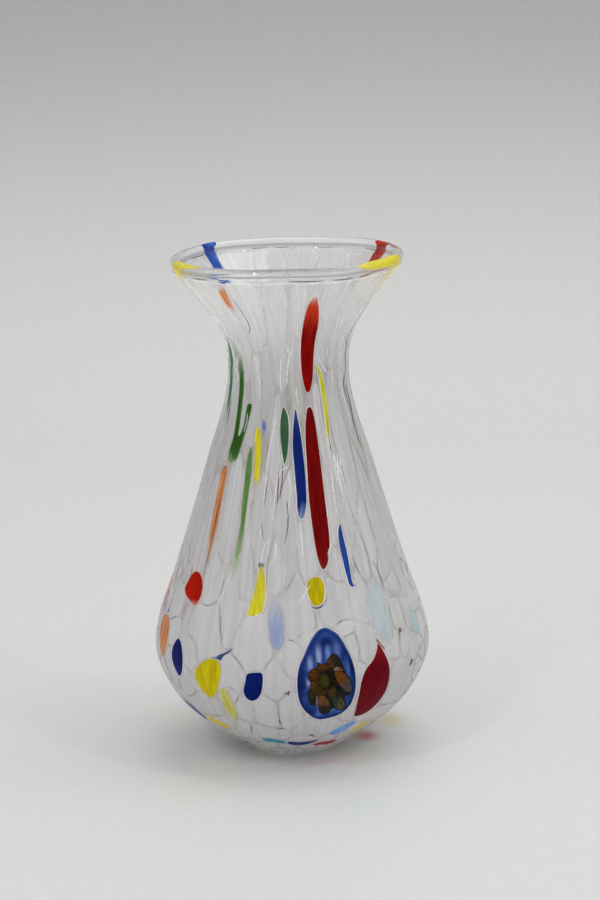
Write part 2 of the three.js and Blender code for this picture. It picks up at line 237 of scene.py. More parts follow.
# ---------------------------------------------------------------- mesh helpers
def new_object(name, verts, faces, smooth=True):
    me = bpy.data.meshes.new(name)
    me.from_pydata(np.asarray(verts).tolist(), [], faces)
    me.update()
    if smooth:
        me.polygons.foreach_set("use_smooth", [True] * len(me.polygons))
    ob = bpy.data.objects.new(name, me)
    scene.collection.objects.link(ob)
    return ob


def point_attribute(ob, name, kind, values):
    a = ob.data.attributes.new(name, kind, "POINT")
    if kind == "FLOAT":
        a.data.foreach_set("value", np.asarray(values, np.float32).ravel())
    elif kind == "FLOAT_VECTOR":
        a.data.foreach_set("vector", np.asarray(values, np.float32).ravel())
    else:
        a.data.foreach_set("color", np.asarray(values, np.float32).ravel())


def closed_spline(pts, step):
    """A smooth closed curve through the points, resampled."""
    P = np.array(pts, float)
    n = len(P)
    dense = []
    for i in range(n):
        p0, p1, p2, p3 = P[i - 1], P[i], P[(i + 1) % n], P[(i + 2) % n]
        # centripetal knots keep the curve from looping at sharp tips
        t0 = 0.0
        t1 = t0 + max(np.linalg.norm(p1 - p0), 1e-6) ** 0.5
        t2 = t1 + max(np.linalg.norm(p2 - p1), 1e-6) ** 0.5
        t3 = t2 + max(np.linalg.norm(p3 - p2), 1e-6) ** 0.5
        t = np.linspace(t1, t2, 14, endpoint=False)[:, None]
        a1 = (t1 - t) / (t1 - t0) * p0 + (t - t0) / (t1 - t0) * p1
        a2 = (t2 - t) / (t2 - t1) * p1 + (t - t1) / (t2 - t1) * p2
        a3 = (t3 - t) / (t3 - t2) * p2 + (t - t2) / (t3 - t2) * p3
        b1 = (t2 - t) / (t2 - t0) * a1 + (t - t0) / (t2 - t0) * a2
        b2 = (t3 - t) / (t3 - t1) * a2 + (t - t1) / (t3 - t1) * a3
        dense.append((t2 - t) / (t2 - t1) * b1 + (t - t1) / (t2 - t1) * b2)
    D = np.concatenate(dense)
    L = np.concatenate([[0], np.cumsum(np.linalg.norm(np.diff(np.vstack([D, D[:1]]), axis=0), axis=1))])
    m = max(10, int(round(L[-1] / step)))
    q = np.linspace(0, L[-1], m, endpoint=False)
    D = np.vstack([D, D[:1]])
    return np.stack([np.interp(q, L, D[:, 0]), np.interp(q, L, D[:, 1])], 1)


def area_of(P):
    return 0.5 * float(np.sum(P[:, 0] * np.roll(P[:, 1], -1) - np.roll(P[:, 0], -1) * P[:, 1]))


def edge_distance(Q, P):
    """Distance from each point of Q to the closed outline P, positive inside."""
    a, b = P, np.roll(P, -1, 0)
    d = b - a
    L2 = np.maximum((d * d).sum(1), 1e-12)
    best = np.full(len(Q), 1e9)
    inside = np.zeros(len(Q), bool)
    for k in range(len(P)):
        w = Q - a[k]
        t = np.clip((w @ d[k]) / L2[k], 0, 1)
        best = np.minimum(best, np.hypot(*(w - t[:, None] * d[k]).T))
        cross = (a[k, 1] > Q[:, 1]) != (b[k, 1] > Q[:, 1])
        if abs(d[k, 1]) > 1e-12:
            xi = a[k, 0] + (Q[:, 1] - a[k, 1]) / d[k, 1] * d[k, 0]
            inside ^= cross & (Q[:, 0] < xi)
    return np.where(inside, best, -best)


def fill(P, rings, spacing):
    """Triangles over the inside of an outline, with rings of points near the edge. Gives points, distance in, faces."""
    if area_of(P) < 0:
        P = P[::-1]
    n = len(P)
    t = np.roll(P, -1, 0) - np.roll(P, 1, 0)
    t /= np.maximum(np.linalg.norm(t, axis=1)[:, None], 1e-9)
    nin = np.stack([-t[:, 1], t[:, 0]], 1)
    pts = [P]
    last = 0.0
    for d in rings:
        Q = P + nin * d
        dd = edge_distance(Q, P)
        Q = Q[dd > d * 0.9]
        if len(Q) > 2:
            gapmin = max(0.5 * (d - last), 0.12)
            sel, keepq = [], []
            for q in Q:
                if not keepq or all((q[0] - k[0]) ** 2 + (q[1] - k[1]) ** 2 > gapmin**2 for k in keepq[-3:] + keepq[:1]):
                    keepq.append(q)
            pts.append(np.array(keepq))
        last = d
    lo, hi = P.min(0), P.max(0)
    gx = np.arange(lo[0], hi[0] + spacing, spacing)
    gy = np.arange(lo[1], hi[1] + spacing * 0.87, spacing * 0.87)
    X, Y = np.meshgrid(gx, gy)
    X = X + (np.arange(len(gy))[:, None] % 2) * spacing / 2
    G = np.stack([X.ravel(), Y.ravel()], 1)
    dd = edge_distance(G, P)
    G = G[dd > last + spacing * 0.45]
    if len(G):
        pts.append(G)
    allp = np.concatenate(pts)
    v, _, f, _, _, _ = delaunay_2d_cdt([Vector(p) for p in allp.tolist()], [], [list(range(n))], 1, 1e-5)
    V = np.array([[p.x, p.y] for p in v])
    D = edge_distance(V, P)
    D[np.abs(D) < 1e-4] = 0
    return V, np.maximum(D, 0), [list(t) for t in f]


def body_from(V, D, F, top, bottom):
    """A closed lens: the filled outline once at its top height and once at its bottom height, joined at the edge."""
    n = len(V)
    edge = D <= 0
    lower = np.full(n, -1)
    count = n
    for i in range(n):
        if edge[i]:
            lower[i] = i
        else:
            lower[i] = count
            count += 1
    V2 = np.concatenate([V, V[~edge]])
    D2 = np.concatenate([D, D[~edge]])
    off = np.concatenate([top, bottom[~edge]])
    faces = [list(f) for f in F] + [[int(lower[i]) for i in reversed(f)] for f in F]
    return V2, D2, off, faces


def chip_arrays(outline, centre, rings, spacing, top_fn, depth, edge_at):
    """One chip as arrays. outline: x mm along the skin, y mm up it, about centre (theta, s)."""
    V, D, F = fill(outline, rings, spacing)
    th = centre[0] + V[:, 0] / r_of(centre[1])
    s = centre[1] + V[:, 1]
    top = top_fn(D, V)
    top[D <= 0] = edge_at
    bottom = edge_at - depth * (1 - np.exp(-D / 0.45))
    V2, D2, off, faces = body_from(V, D, F, top, bottom)
    th = centre[0] + V2[:, 0] / r_of(centre[1])
    s = centre[1] + V2[:, 1]
    return th, s, off, D2, faces


def pillow(edge_at, height, width):
    """Height over a chip: round at its edge, level inside."""
    def fn(D, V):
        t = np.clip(D / width, 0, 1)
        return edge_at + (height - edge_at) * np.sqrt(np.clip(1 - (1 - t) ** 2, 0, 1))
    return fn


# ---------------------------------------------------------------- node helpers
def material(name):
    m = bpy.data.materials.new(name)
    m.use_nodes = True
    m.node_tree.nodes.clear()
    return m, m.node_tree.nodes, m.node_tree.links


def node(nodes, kind, **values):
    n = nodes.new(kind)
    for k, v in values.items():
        if k in n.inputs:
            n.inputs[k].default_value = v
        else:
            setattr(n, k, v)
    return n


def srgb(*c):
    """Linear colour for a 0-255 sRGB one."""
    out = []
    for v in c:
        v = v / 255
        out.append(v / 12.92 if v <= 0.04045 else ((v + 0.055) / 1.055) ** 2.4)
    return (*out, 1.0)


def hexrgb(h):
    return srgb(int(h[0:2], 16), int(h[2:4], 16), int(h[4:6], 16))


def ramp(nodes, stops, interpolation="LINEAR"):
    r = nodes.new("ShaderNodeValToRGB")
    r.color_ramp.interpolation = interpolation
    while len(r.color_ramp.elements) < len(stops):
        r.color_ramp.elements.new(0.5)
    for e, (p, c) in zip(r.color_ramp.elements, stops):
        e.position, e.color = p, c
    return r


# ---------------------------------------------------------------- colours and outlines of the inlays
# name: colour, outline as (degrees round from the front, height mm)
INLAYS = {
    "rim_blue_streak": ("3f68a8", [(-137.6, 155.4), (-130.6, 155.4), (-131.6, 153.2), (-134, 151.6), (-136.6, 152.6)]),
    "rim_red_streak": ("a0322e", [(114.6, 155.4), (124.4, 155.4), (122.6, 152.8), (118.6, 151.2), (115.4, 153)]),
    "rim_yellow_left": ("c9c24a", [(-79, 155.2), (-72, 155.4), (-63, 155.2), (-64, 152.8), (-70, 150.6), (-76, 150.4), (-78, 152.6)]),
    "rim_yellow_right": ("c9c24a", [(58, 155.3), (66, 155.4), (76, 155.2), (79, 152), (79, 148.4), (75, 145.9), (71, 146.2), (72, 149.4), (66, 152.4)]),
    "orange_streak_rim": ("d98a55", [(-35.14, 154.74), (-34.02, 153.42), (-35.25, 149.88), (-36.4, 145.28), (-39.33, 146.17), (-40.74, 148.53), (-40.24, 151.33)]),
    "red_streak_upper": ("8a0c0a", [(15.84, 151.35), (18.53, 148.79), (21.15, 145.17), (23.74, 139.84), (23.97, 134.44), (24.07, 130.51), (23.98, 125.73), (22.41, 121.38), (19.31, 118.84), (16.64, 119.07), (13.64, 122.23), (11.48, 128.59), (10.91, 134.13), (11.12, 139.19), (11.69, 144.44), (12.98, 148.99)]),
    "yellow_thread_neck": ("c2bb35", [(27.72, 127.51), (31.61, 125.15), (35.17, 120.92), (36.17, 115.91), (35.36, 109.85), (32.1, 102.22), (30.32, 105.6), (31.46, 110.64), (31.91, 116.1), (30.28, 121.74)]),
    "green_edge_streak": ("3a5f3c", [(-65.37, 135.18), (-63.46, 133.33), (-63.97, 127.51), (-63.65, 120.85), (-64.04, 114.85), (-61.44, 108.49), (-63.35, 107.44), (-70.76, 112.85), (-74.3, 119.57), (-76.38, 126.77)]),
    "green_forked_streak": ("3f6a28", [(-50.76, 131.4), (-47.35, 126.75), (-46.22, 120.49), (-45.95, 114.3), (-44.84, 108.27), (-43.91, 105), (-41.14, 107.85), (-39.49, 114.9), (-35.01, 115.07), (-36.08, 110.18), (-37.84, 105.31), (-39.66, 101.03), (-41.6, 97.92), (-47.83, 96.61), (-50.39, 99.77), (-49.55, 104.07), (-50.9, 109.46), (-52.26, 115.53), (-53.09, 121.73), (-54.14, 126.43)]),
    "orange_streak_left": ("cf8d55", [(-47.72, 95.7), (-47.43, 89.94), (-46.98, 82.98), (-46.91, 76.32), (-47.5, 69.59), (-48.5, 64.32), (-50.47, 68.36), (-52, 75.2), (-52.99, 81.82), (-53.27, 88.55), (-53.28, 94.99)]),
    "green_streak_long": ("58713b", [(-30.36, 102.65), (-28.37, 100.95), (-26.96, 93.28), (-27.38, 85.49), (-27.26, 77.78), (-27.82, 71.83), (-29.02, 65.24), (-31.22, 62.71), (-31.64, 67.13), (-30.68, 73.13), (-30.57, 79.08), (-31.31, 85.59), (-31.71, 93.05), (-31.81, 99.91)]),
    "yellow_streak_left": ("c4bc30", [(-27.04, 108.7), (-23.72, 107.02), (-21.26, 101.77), (-20.55, 95.88), (-22.18, 91.67), (-24.31, 91.59), (-25.39, 95.72), (-26.98, 101.58), (-28.38, 106.28)]),
    "blue_dot_neck": ("4060a0", [(-22.59, 110.61), (-19.64, 109.79), (-18.8, 108.02), (-20.26, 107.11), (-22.26, 107.94), (-23.18, 109.4)]),
    "sea_green_spindle": ("35603a", [(-4.9, 114.74), (-1.66, 112.94), (-0.08, 109.35), (-0.68, 103.46), (-2.23, 99.06), (-3.64, 97.6), (-5.7, 101.4), (-7.46, 107.87), (-6.87, 112.63)]),
    "blue_streak_centre": ("123a8c", [(5.89, 114.38), (7.8, 110.75), (9.5, 105.69), (10.32, 98.91), (10.66, 92.39), (10.02, 85.59), (8.05, 82.1), (5.88, 81.27), (4.29, 83.65), (4.04, 88.68), (3.13, 96.08), (2.4, 102.86), (3.49, 109.32)]),
    "red_streak_lower": ("7a0606", [(17.23, 114.46), (20.4, 114.07), (22.23, 111), (22.69, 105.32), (22.56, 98.5), (22.43, 91.06), (22.42, 82.72), (22.09, 75.32), (20.6, 70.39), (18.3, 66.99), (16.27, 66.22), (14.53, 68.36), (13.18, 73.41), (12.31, 80.51), (11.71, 88.51), (11.93, 97.39), (12.47, 104.75), (14.06, 110.63)]),
    "blue_streak_right": ("2a4c9a", [(29.91, 79.27), (30.54, 75.64), (31.23, 71.11), (31.28, 66.63), (31.18, 62.17), (31.63, 60.03), (29.52, 60.53), (28.47, 63.9), (27.71, 68.41), (27.21, 72.91), (27.77, 77.04)]),
    "red_orange_chip": ("c03014", [(-55.17, 62.89), (-51.22, 62.17), (-48.46, 60.07), (-47.55, 57.16), (-48.32, 54.64), (-49.92, 52.93), (-54.32, 53.81), (-59.27, 54.91), (-61.93, 56.67), (-60.62, 59.35), (-58.88, 61.46)]),
    "yellow_triangle_chip": ("cfc336", [(-15.78, 68.56), (-13.54, 65.12), (-12.62, 60.76), (-12.8, 57.24), (-13.68, 54.32), (-16.82, 53.19), (-20.09, 52.88), (-19.69, 56.09), (-18.26, 59.97), (-17.1, 64.4)]),
    "yellow_centre_chip": ("d2c22c", [(10.81, 64.26), (13.61, 64.29), (15.67, 62.71), (16.16, 59.76), (14.99, 57.18), (12.42, 56), (9.85, 56.27), (8.18, 58.37), (7.28, 61.6), (8.45, 63.47)]),
    "pale_blue_chip": ("8aa6cc", [(-9.31, 58.49), (-6.65, 57.67), (-4.7, 54.21), (-3.51, 49.35), (-3.48, 45.3), (-5.96, 43.36), (-8.28, 44.36), (-9.95, 48.11), (-10.98, 52.67), (-10.79, 56.14)]),
    "aqua_chip_right": ("b9cdcf", [(44.34, 61.62), (47.2, 59.13), (49.12, 53.98), (48.87, 48.56), (47.75, 43.83), (43.99, 41.36), (39.96, 44.13), (37.22, 48.14), (36.73, 52.64), (39.04, 57.74)]),
    "aqua_chip_edge": ("9fc0c4", [(67.63, 48.35), (69.81, 45.36), (68.63, 40.12), (65.06, 40.23), (62.97, 43.86), (63.07, 47.01)]),
    "orange_chip_edge": ("c98650", [(-74.87, 46.2), (-68.48, 46.18), (-65.17, 43), (-64.95, 39.22), (-67.25, 34.53), (-70.53, 33.8), (-73.29, 36.48), (-77.21, 40.52), (-77.8, 43.98)]),
    "blue_chip_left": ("0d2a78", [(-55.96, 42.19), (-52.99, 40.52), (-51.09, 36.13), (-52.16, 31.98), (-55.16, 29.99), (-57.43, 31.95), (-59.8, 35.76), (-59.22, 39.39)]),
    "yellow_chip_lower_left": ("d0be0c", [(-35.37, 38.97), (-31.6, 38.49), (-30.18, 36.01), (-31.43, 31.61), (-34.67, 27.21), (-37.88, 25.45), (-41.09, 26.93), (-43.35, 29.79), (-43.87, 33.49), (-40.82, 36.53)]),
    "pale_yellow_chip": ("cdc87a", [(-31.22, 29.69), (-28.55, 29.85), (-27.51, 26.32), (-26.19, 22.68), (-26.95, 19.15), (-30.53, 17.85), (-31.58, 20.8), (-32.31, 24.22)]),
    "blue_square_chip": ("0a2a80", [(-18.63, 35.78), (-15.28, 36.44), (-12.39, 36.43), (-12.34, 31.56), (-14.52, 27.82), (-17.58, 26.52), (-19.82, 27.45), (-20.68, 29.58), (-19.53, 33.15)]),
    "murrina_ground": ("2c4f9e", [(14.63, 49.63), (17.8, 48.48), (20.08, 47.14), (22.87, 43.27), (24.69, 39.68), (25.81, 35.87), (26.38, 32.22), (26.69, 27.92), (25.61, 23.4), (22.49, 20.75), (17.64, 19.57), (11.44, 19.32), (6.51, 21.85), (2.98, 25.83), (1.57, 32.24), (2.45, 38.26), (4.45, 41.66), (6.29, 44.55), (8.61, 47.16), (11.2, 49.01)]),
    "murrina_petals": ("4a3418", [(16.53, 41.3), (19.99, 39.68), (21.92, 36.9), (23.74, 33.25), (24.38, 29.31), (23.03, 25.72), (21.11, 23.22), (16.88, 22.38), (12.5, 23.07), (7.96, 25.67), (5.89, 29.44), (5.42, 33.3), (6.29, 36.6), (8.63, 38.93), (12.07, 40.7)]),
    "murrina_core": ("3c3a18", [(13.25, 37.15), (15.88, 36.2), (17.27, 33.86), (16.11, 31.28), (13.47, 30.43), (10.29, 31.54), (9.04, 34.28), (10.33, 36.41)]),
    "red_chip_right": ("7c0a16", [(38.17, 42.59), (40.98, 39.12), (43.09, 34.9), (43.87, 30.67), (43.87, 25.21), (41.41, 21.38), (36.64, 18.62), (30.47, 18.42), (29.29, 21.35), (28.77, 26.54), (28.84, 31.9), (31.14, 35.7), (34.63, 37.94), (37.06, 40.63)]),
    "base_blue_chip": ("2f4f9a", [(-66, 19.2), (-60, 19.4), (-54.6, 16.8), (-53.8, 14.2), (-58, 13.6), (-64, 16)]),
    "base_yellow_chip": ("c9be4a", [(-52, 16.6), (-45, 16.2), (-39, 14.8), (-37.6, 12.8), (-42, 12.2), (-49, 13.4)]),
    "base_light_blue_chip": ("8fb0d6", [(20.6, 11.8), (26, 15), (31, 16.2), (34, 15.6), (31, 12.4), (25, 10.6)]),
    "base_yellow_chip_right": ("c9be4a", [(39, 13.6), (43, 14.6), (46.4, 14.2), (45, 11), (40, 9.6), (37.4, 10.8)]),
    "base_teal_sliver": ("3f8f96", [(-20.6, 9.8), (-14, 10.2), (-6.2, 9), (-6.6, 7.2), (-13, 7.6), (-20, 8.2)]),
    "base_navy_sliver": ("1c2c66", [(-4, 8.6), (4, 8.2), (12.6, 8.6), (16.2, 9.4), (14.4, 7.4), (6, 6), (-3.4, 6.8)]),
    "base_red_chip": ("a02a2c", [(15.4, 5.2), (22, 5), (29, 4.6), (35, 5), (34, 6.7), (25, 7), (17, 6.6)]),
    "red_streak_back": ("8a0c0a", [(158.5, 104), (161.5, 103), (164.4, 94), (165.6, 80), (164.2, 68), (161.6, 63.5), (158.8, 66), (157, 78), (156.8, 92)]),
    "blue_streak_back": ("123a8c", [(199.6, 101), (201.6, 100), (203.4, 90), (203.2, 78), (201.4, 70), (199.2, 73), (198.4, 84), (198.6, 94)]),
    "yellow_streak_back": ("c4bc30", [(131, 97), (133, 96), (134.6, 88), (134.2, 79), (132.2, 74), (130, 78), (129.6, 88)]),
    "green_streak_back": ("3f6a28", [(233.6, 102), (235.4, 101), (237, 90), (237.6, 78), (236.4, 68), (234.2, 65), (232.6, 72), (232, 84), (232.2, 94)]),
    "orange_streak_back": ("cf8d55", [(104, 104), (106, 103), (107.6, 95), (107.2, 86), (105.4, 81), (103.4, 86), (102.8, 96)]),
    "sea_green_streak_back": ("35603a", [(180, 121.5), (183.6, 119), (185.4, 111), (185, 104), (182.4, 100), (179.4, 104), (178, 112)]),
    "blue_chip_back": ("0d2a78", [(136.4, 57), (140.6, 58.6), (144.6, 56), (145.6, 49.6), (142.6, 44.6), (138, 44.4), (135.4, 49)]),
    "yellow_triangle_back": ("cfc336", [(184.6, 57), (187, 53), (189.6, 44), (188.6, 40.2), (182.6, 39.4), (178.6, 41), (181, 48)]),
    "red_orange_chip_back": ("c03014", [(212, 60.6), (216.4, 61.6), (220, 58.4), (219.6, 52.6), (216, 49), (211.6, 50.4), (209.8, 55.6)]),
    "aqua_chip_back": ("a9c6c8", [(160.6, 40.6), (165.6, 42), (170, 38), (170.4, 31), (166.4, 26.4), (161.4, 27.6), (158.8, 34)]),
    "green_chip_back": ("3f6a28", [(247.6, 45), (251.8, 46.4), (255.6, 42.4), (255.4, 35), (251.6, 30.6), (247.4, 32.4), (245.4, 38.6)]),
    "yellow_chip_side": ("d2c22c", [(91, 64), (94.4, 65.6), (98, 62.4), (98.2, 56), (95, 51.8), (91.4, 53), (89.2, 58.6)]),
    "red_chip_back": ("7c0a16", [(117, 38.4), (122.6, 39.6), (126.4, 35), (125.8, 27.6), (120.6, 23.8), (115.4, 26), (113.6, 32.6)]),
    "blue_chip_back_low": ("0a2a80", [(199, 31), (203.6, 32.2), (207.4, 28.4), (207, 22.8), (202.6, 19.8), (198, 21.6), (196.6, 26.6)]),
    "yellow_chip_back_low": ("d0be0c", [(225, 29), (230.6, 30), (234.4, 25.4), (233.4, 19.8), (228, 17.4), (223.4, 20.2), (222.2, 25)]),
    "orange_chip_side": ("c98650", [(270.6, 58), (273.6, 59), (276.6, 55), (277, 47.6), (274.2, 43.6), (271, 45.4), (269.4, 51.4)]),
    "blue_streak_side": ("2a4c9a", [(86.6, 96), (88.4, 95), (90.2, 86), (91.2, 76), (90.2, 70), (88.2, 73), (86.8, 84)]),
}

# small traces of coloured glass squeezed between the chips
TRACES = {
    "trace_bluegrey_left": ("3c5a82", [(-35.4, 39.12), (-32.12, 40.41), (-28.49, 41.68), (-24.98, 43.35), (-27.05, 41.52), (-29.16, 39.97), (-30.46, 38.91), (-32.94, 39.25)]),
    "trace_green_left": ("1f4a32", [(-49.69, 47.08), (-48.01, 48.38), (-49.17, 50.32), (-48.27, 50.9), (-46.76, 49.16), (-44.8, 47.62), (-45.16, 46.52), (-46.96, 47.63)]),
    "trace_violet_left": ("5a62a0", [(-76.2, 46.9), (-81.6, 47.75), (-82.28, 50.22), (-83.46, 52.59), (-77.77, 51.73), (-75.65, 49.57), (-70.22, 48.06), (-72.91, 47.23)]),
    "trace_green_tip": ("14503c", [(-17.11, 67.19), (-16.61, 68.68), (-15.32, 69.16), (-14.13, 68.17), (-14.42, 66.99), (-15.43, 67.84), (-16.21, 66.84)]),
    "trace_navy_centre": ("1a2a66", [(8.71, 56.6), (10.26, 55.72), (12.12, 55.58), (14.61, 56.33), (16.34, 57.99), (16.86, 59.28), (17.13, 57.94), (16.53, 56.22), (15.74, 56.15), (14.98, 55.66), (12.05, 55.06), (9.75, 55.4)]),
    "trace_maroon_right": ("5c2238", [(49.47, 57.89), (52.55, 56.68), (55.45, 56.55), (57.57, 57.93), (57.14, 56.28), (59.39, 54.68), (58, 54.28), (54.51, 54.91), (51.5, 56.28)]),
    "trace_violet_right": ("4c4c8e", [(74.76, 63.7), (78.86, 61.72), (82.39, 59.15), (81.37, 57.53), (77.8, 58.98), (75.38, 61.02)]),
    "trace_dark_edge": ("5a4c66", [(58.78, 34.46), (60.11, 34.67), (59.31, 33.02), (57.8, 31.67), (56.39, 32.18), (57.56, 33.4)]),
    "trace_maroon_seam": ("6a2440", [(36.05, 45.78), (37.56, 44.48), (39.26, 42.7), (41.81, 39.98), (40.98, 40.11), (38.32, 42.35), (36.26, 44.66)]),
    "trace_maroon_low": ("7a1c2c", [(-4.18, 28.35), (-3.91, 29.63), (-4.55, 30.49), (-3.65, 30.79), (-2.65, 30.47), (-1.38, 31.06), (-1.33, 29.85), (-1.95, 28.46), (-2.28, 29.42), (-3.05, 29.56)]),
    "trace_maroon_under": ("6e2030", [(-7.03, 19.31), (-6.23, 19.64), (-5.98, 18.05), (-5.1, 16.68), (-6.24, 17.57)]),
    "trace_dark_spot": ("30283c", [(26.44, 16.68), (25.91, 18.29), (26.66, 18.44), (27.61, 16.61)]),
    "trace_navy_under": ("1e2e6e", [(-42.85, 5.96), (-38.35, 6.07), (-37.34, 4.9), (-49.28, 3.42)]),
    "trace_seam_a": ("6b6a72", [(52.35, 44.91), (53.64, 44.99), (53.4, 43.15), (51.69, 41.28), (51.28, 42.6)]),
    "trace_navy_low": ("22306c", [(-9.69, 15.63), (-6.32, 15.93), (-3.53, 16.15), (-6.47, 15.15), (-9.07, 15.08)]),
    "trace_blue_low2": ("3450a0", [(7.92, 12.76), (10.27, 12.42), (12.95, 11.57), (10.61, 11.53), (8.4, 12.22)]),
    "trace_yellow_left": ("c8c08a", [(-22.25, 47.85), (-22.29, 49.59), (-21.28, 51.67), (-20.78, 50.55), (-21.47, 48.77)]),
    "trace_navy_tip": ("1b3c90", [(31.29, 60.79), (33.28, 60.47), (31.88, 60.19), (30.36, 60.4)]),
}

# white chips of the lower front: degrees, height, half width and half length, mm
FRONT_CHIPS = [
    (-17, 44.6, 5.5, 9.6),
    (-24.7, 34.7, 4.3, 5.5),
    (-7.6, 33.4, 3.5, 6.1),
    (-1, 41.4, 2.8, 4.5),
    (1.5, 55.6, 4.3, 9),
    (21.4, 56.2, 4.2, 6.2),
    (33.5, 56.6, 3.3, 6.8),
    (31.4, 42.5, 3.1, 6),
    (57.1, 58, 5.7, 4),
    (54.6, 49.2, 2.9, 5.5),
    (47.4, 40.5, 3, 4),
    (54, 39.6, 2.9, 4.3),
    (62.4, 48.4, 3.3, 5.2),
    (60.3, 37.1, 3.3, 4.8),
    (52.9, 26.8, 9, 9),
    (68.2, 37.9, 3.3, 5),
    (-11.7, 22.3, 3.9, 6.8),
    (-2.4, 22.5, 3.1, 6.2),
    (-21.9, 23.1, 2.9, 5.2),
    (12.5, 15.4, 5.8, 5.3),
    (-17.3, 13.5, 5.9, 4.5),
    (-45.4, 21.7, 6.2, 5.3),
    (-51.2, 28, 4, 5.8),
    (-40.3, 46.4, 5.9, 10.5),
    (-28.7, 55.2, 4.4, 10.2),
    (-46.6, 39.4, 3.8, 4.8),
    (-66.6, 52.2, 3.9, 7.4),
    (-63.2, 44, 3.9, 3.9),
    (-42.1, 60.2, 3.8, 8.1),
    (-24.7, 63.7, 2.6, 9.3),
    (-5.7, 67.9, 3.1, 7.4),
    (40.7, 52.1, 2.9, 7.5),
    (26.3, 68.5, 2.5, 6.9),
    (40.9, 68.4, 3.2, 7.4),
    (-70.9, 60.9, 5.8, 5.8),
    (-62.3, 31.2, 4.6, 5.2),
    (-39.8, 15.3, 6.6, 4),
    (23.4, 48.8, 2.5, 1.7),
    (7.5, 46.3, 2.5, 2.4),
    (52.8, 62.6, 4, 5.2),
    (42, 8.8, 9, 10.1),
    (48, 15.4, 8.5, 6.2),
    (-31, 28.1, 2.2, 3.7),
    (-26.9, 14.5, 4.1, 4.4),
]

PIECES = []


def done(ob, slot, *nodes):
    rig.ride(ob, "root")
    if nodes:
        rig.replaces(ob, *nodes)
    if slot:
        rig.slot(ob, slot)
    PIECES.append(ob)
    return ob


# ---------------------------------------------------------------- materials
def flow_noise(N, L, scale, stretch, detail=3.0, rough=0.55, offset=0.0):
    """Noise drawn out along the flow of the glass, from the flow attribute (x round, y up the skin, mm)."""
    a = node(N, "ShaderNodeAttribute", attribute_name="flow")
    m = node(N, "ShaderNodeMapping")
    m.inputs["Scale"].default_value = (scale, scale * stretch, scale * 0.5)
    m.inputs["Location"].default_value = (offset, offset * 0.7, 0)
    L.new(a.outputs["Vector"], m.inputs["Vector"])
    n = node(N, "ShaderNodeTexNoise", Scale=1.0, Detail=detail, Roughness=rough)
    L.new(m.outputs["Vector"], n.inputs["Vector"])
    return n.outputs["Fac"]


def remap(N, L, sock, a, b, c=0.0, d=1.0, smooth=True):
    m = node(N, "ShaderNodeMapRange", interpolation_type="SMOOTHSTEP" if smooth else "LINEAR")
    m.inputs["From Min"].default_value, m.inputs["From Max"].default_value = a, b
    m.inputs["To Min"].default_value, m.inputs["To Max"].default_value = c, d
    L.new(sock, m.inputs["Value"])
    return m.outputs["Result"]


def maths(N, L, op, a, b=None):
    m = node(N, "ShaderNodeMath", operation=op)
    for i, v in enumerate((a, b)):
        if v is None:
            continue
        if isinstance(v, (int, float)):
            m.inputs[i].default_value = v
        else:
            L.new(v, m.inputs[i])
    return m.outputs[0]


def blend_colour(N, L, fac, a, b):
    m = node(N, "ShaderNodeMix", data_type="RGBA")
    if isinstance(fac, (int, float)):
        m.inputs[0].default_value = fac
    else:
        L.new(fac, m.inputs[0])
    for i, v in ((6, a), (7, b)):
        if isinstance(v, tuple):
            m.inputs[i].default_value = v
        else:
            L.new(v, m.inputs[i])
    return m.outputs[2]


def attr(N, name):
    return node(N, "ShaderNodeAttribute", attribute_name=name)


def finish_chip(m, N, L, colour, opacity, roughness=0.09, through=0.35, specular=0.4, through_colour=None, bump=None,
                lamp=(0.88, 0.88, 0.88, 1)):
    """Glass with a body colour: part of the light scatters at the front, part glows through, the rest passes clear."""
    p = node(N, "ShaderNodeBsdfPrincipled")
    p.inputs["Roughness"].default_value = roughness
    p.inputs["IOR"].default_value = 1.5
    p.inputs["Specular IOR Level"].default_value = specular
    t = node(N, "ShaderNodeBsdfTranslucent")
    L.new(colour, p.inputs["Base Color"])
    L.new(through_colour or colour, t.inputs["Color"])
    if bump is not None:
        b = node(N, "ShaderNodeBump", Strength=0.25, Distance=0.0002)
        L.new(bump, b.inputs["Height"])
        L.new(b.outputs["Normal"], p.inputs["Normal"])
    mix = node(N, "ShaderNodeMixShader")
    mix.inputs[0].default_value = through
    L.new(p.outputs[0], mix.inputs[1])
    L.new(t.outputs[0], mix.inputs[2])
    out = node(N, "ShaderNodeOutputMaterial")
    body = mix.outputs[0]
    if opacity is not None:
        clear = node(N, "ShaderNodeBsdfTransparent")
        mix2 = node(N, "ShaderNodeMixShader")
        L.new(opacity, mix2.inputs[0])
        L.new(clear.outputs[0], mix2.inputs[1])
        L.new(body, mix2.inputs[2])
        body = mix2.outputs[0]
    # the lamps' light passes on through the glass, tinted
    pale = node(N, "ShaderNodeBsdfTransparent")
    pale.inputs["Color"].default_value = lamp
    path = node(N, "ShaderNodeLightPath")
    last = node(N, "ShaderNodeMixShader")
    L.new(path.outputs["Is Shadow Ray"], last.inputs[0])
    L.new(body, last.inputs[1])
    L.new(pale.outputs[0], last.inputs[2])
    L.new(last.outputs[0], out.inputs["Surface"])
    return m


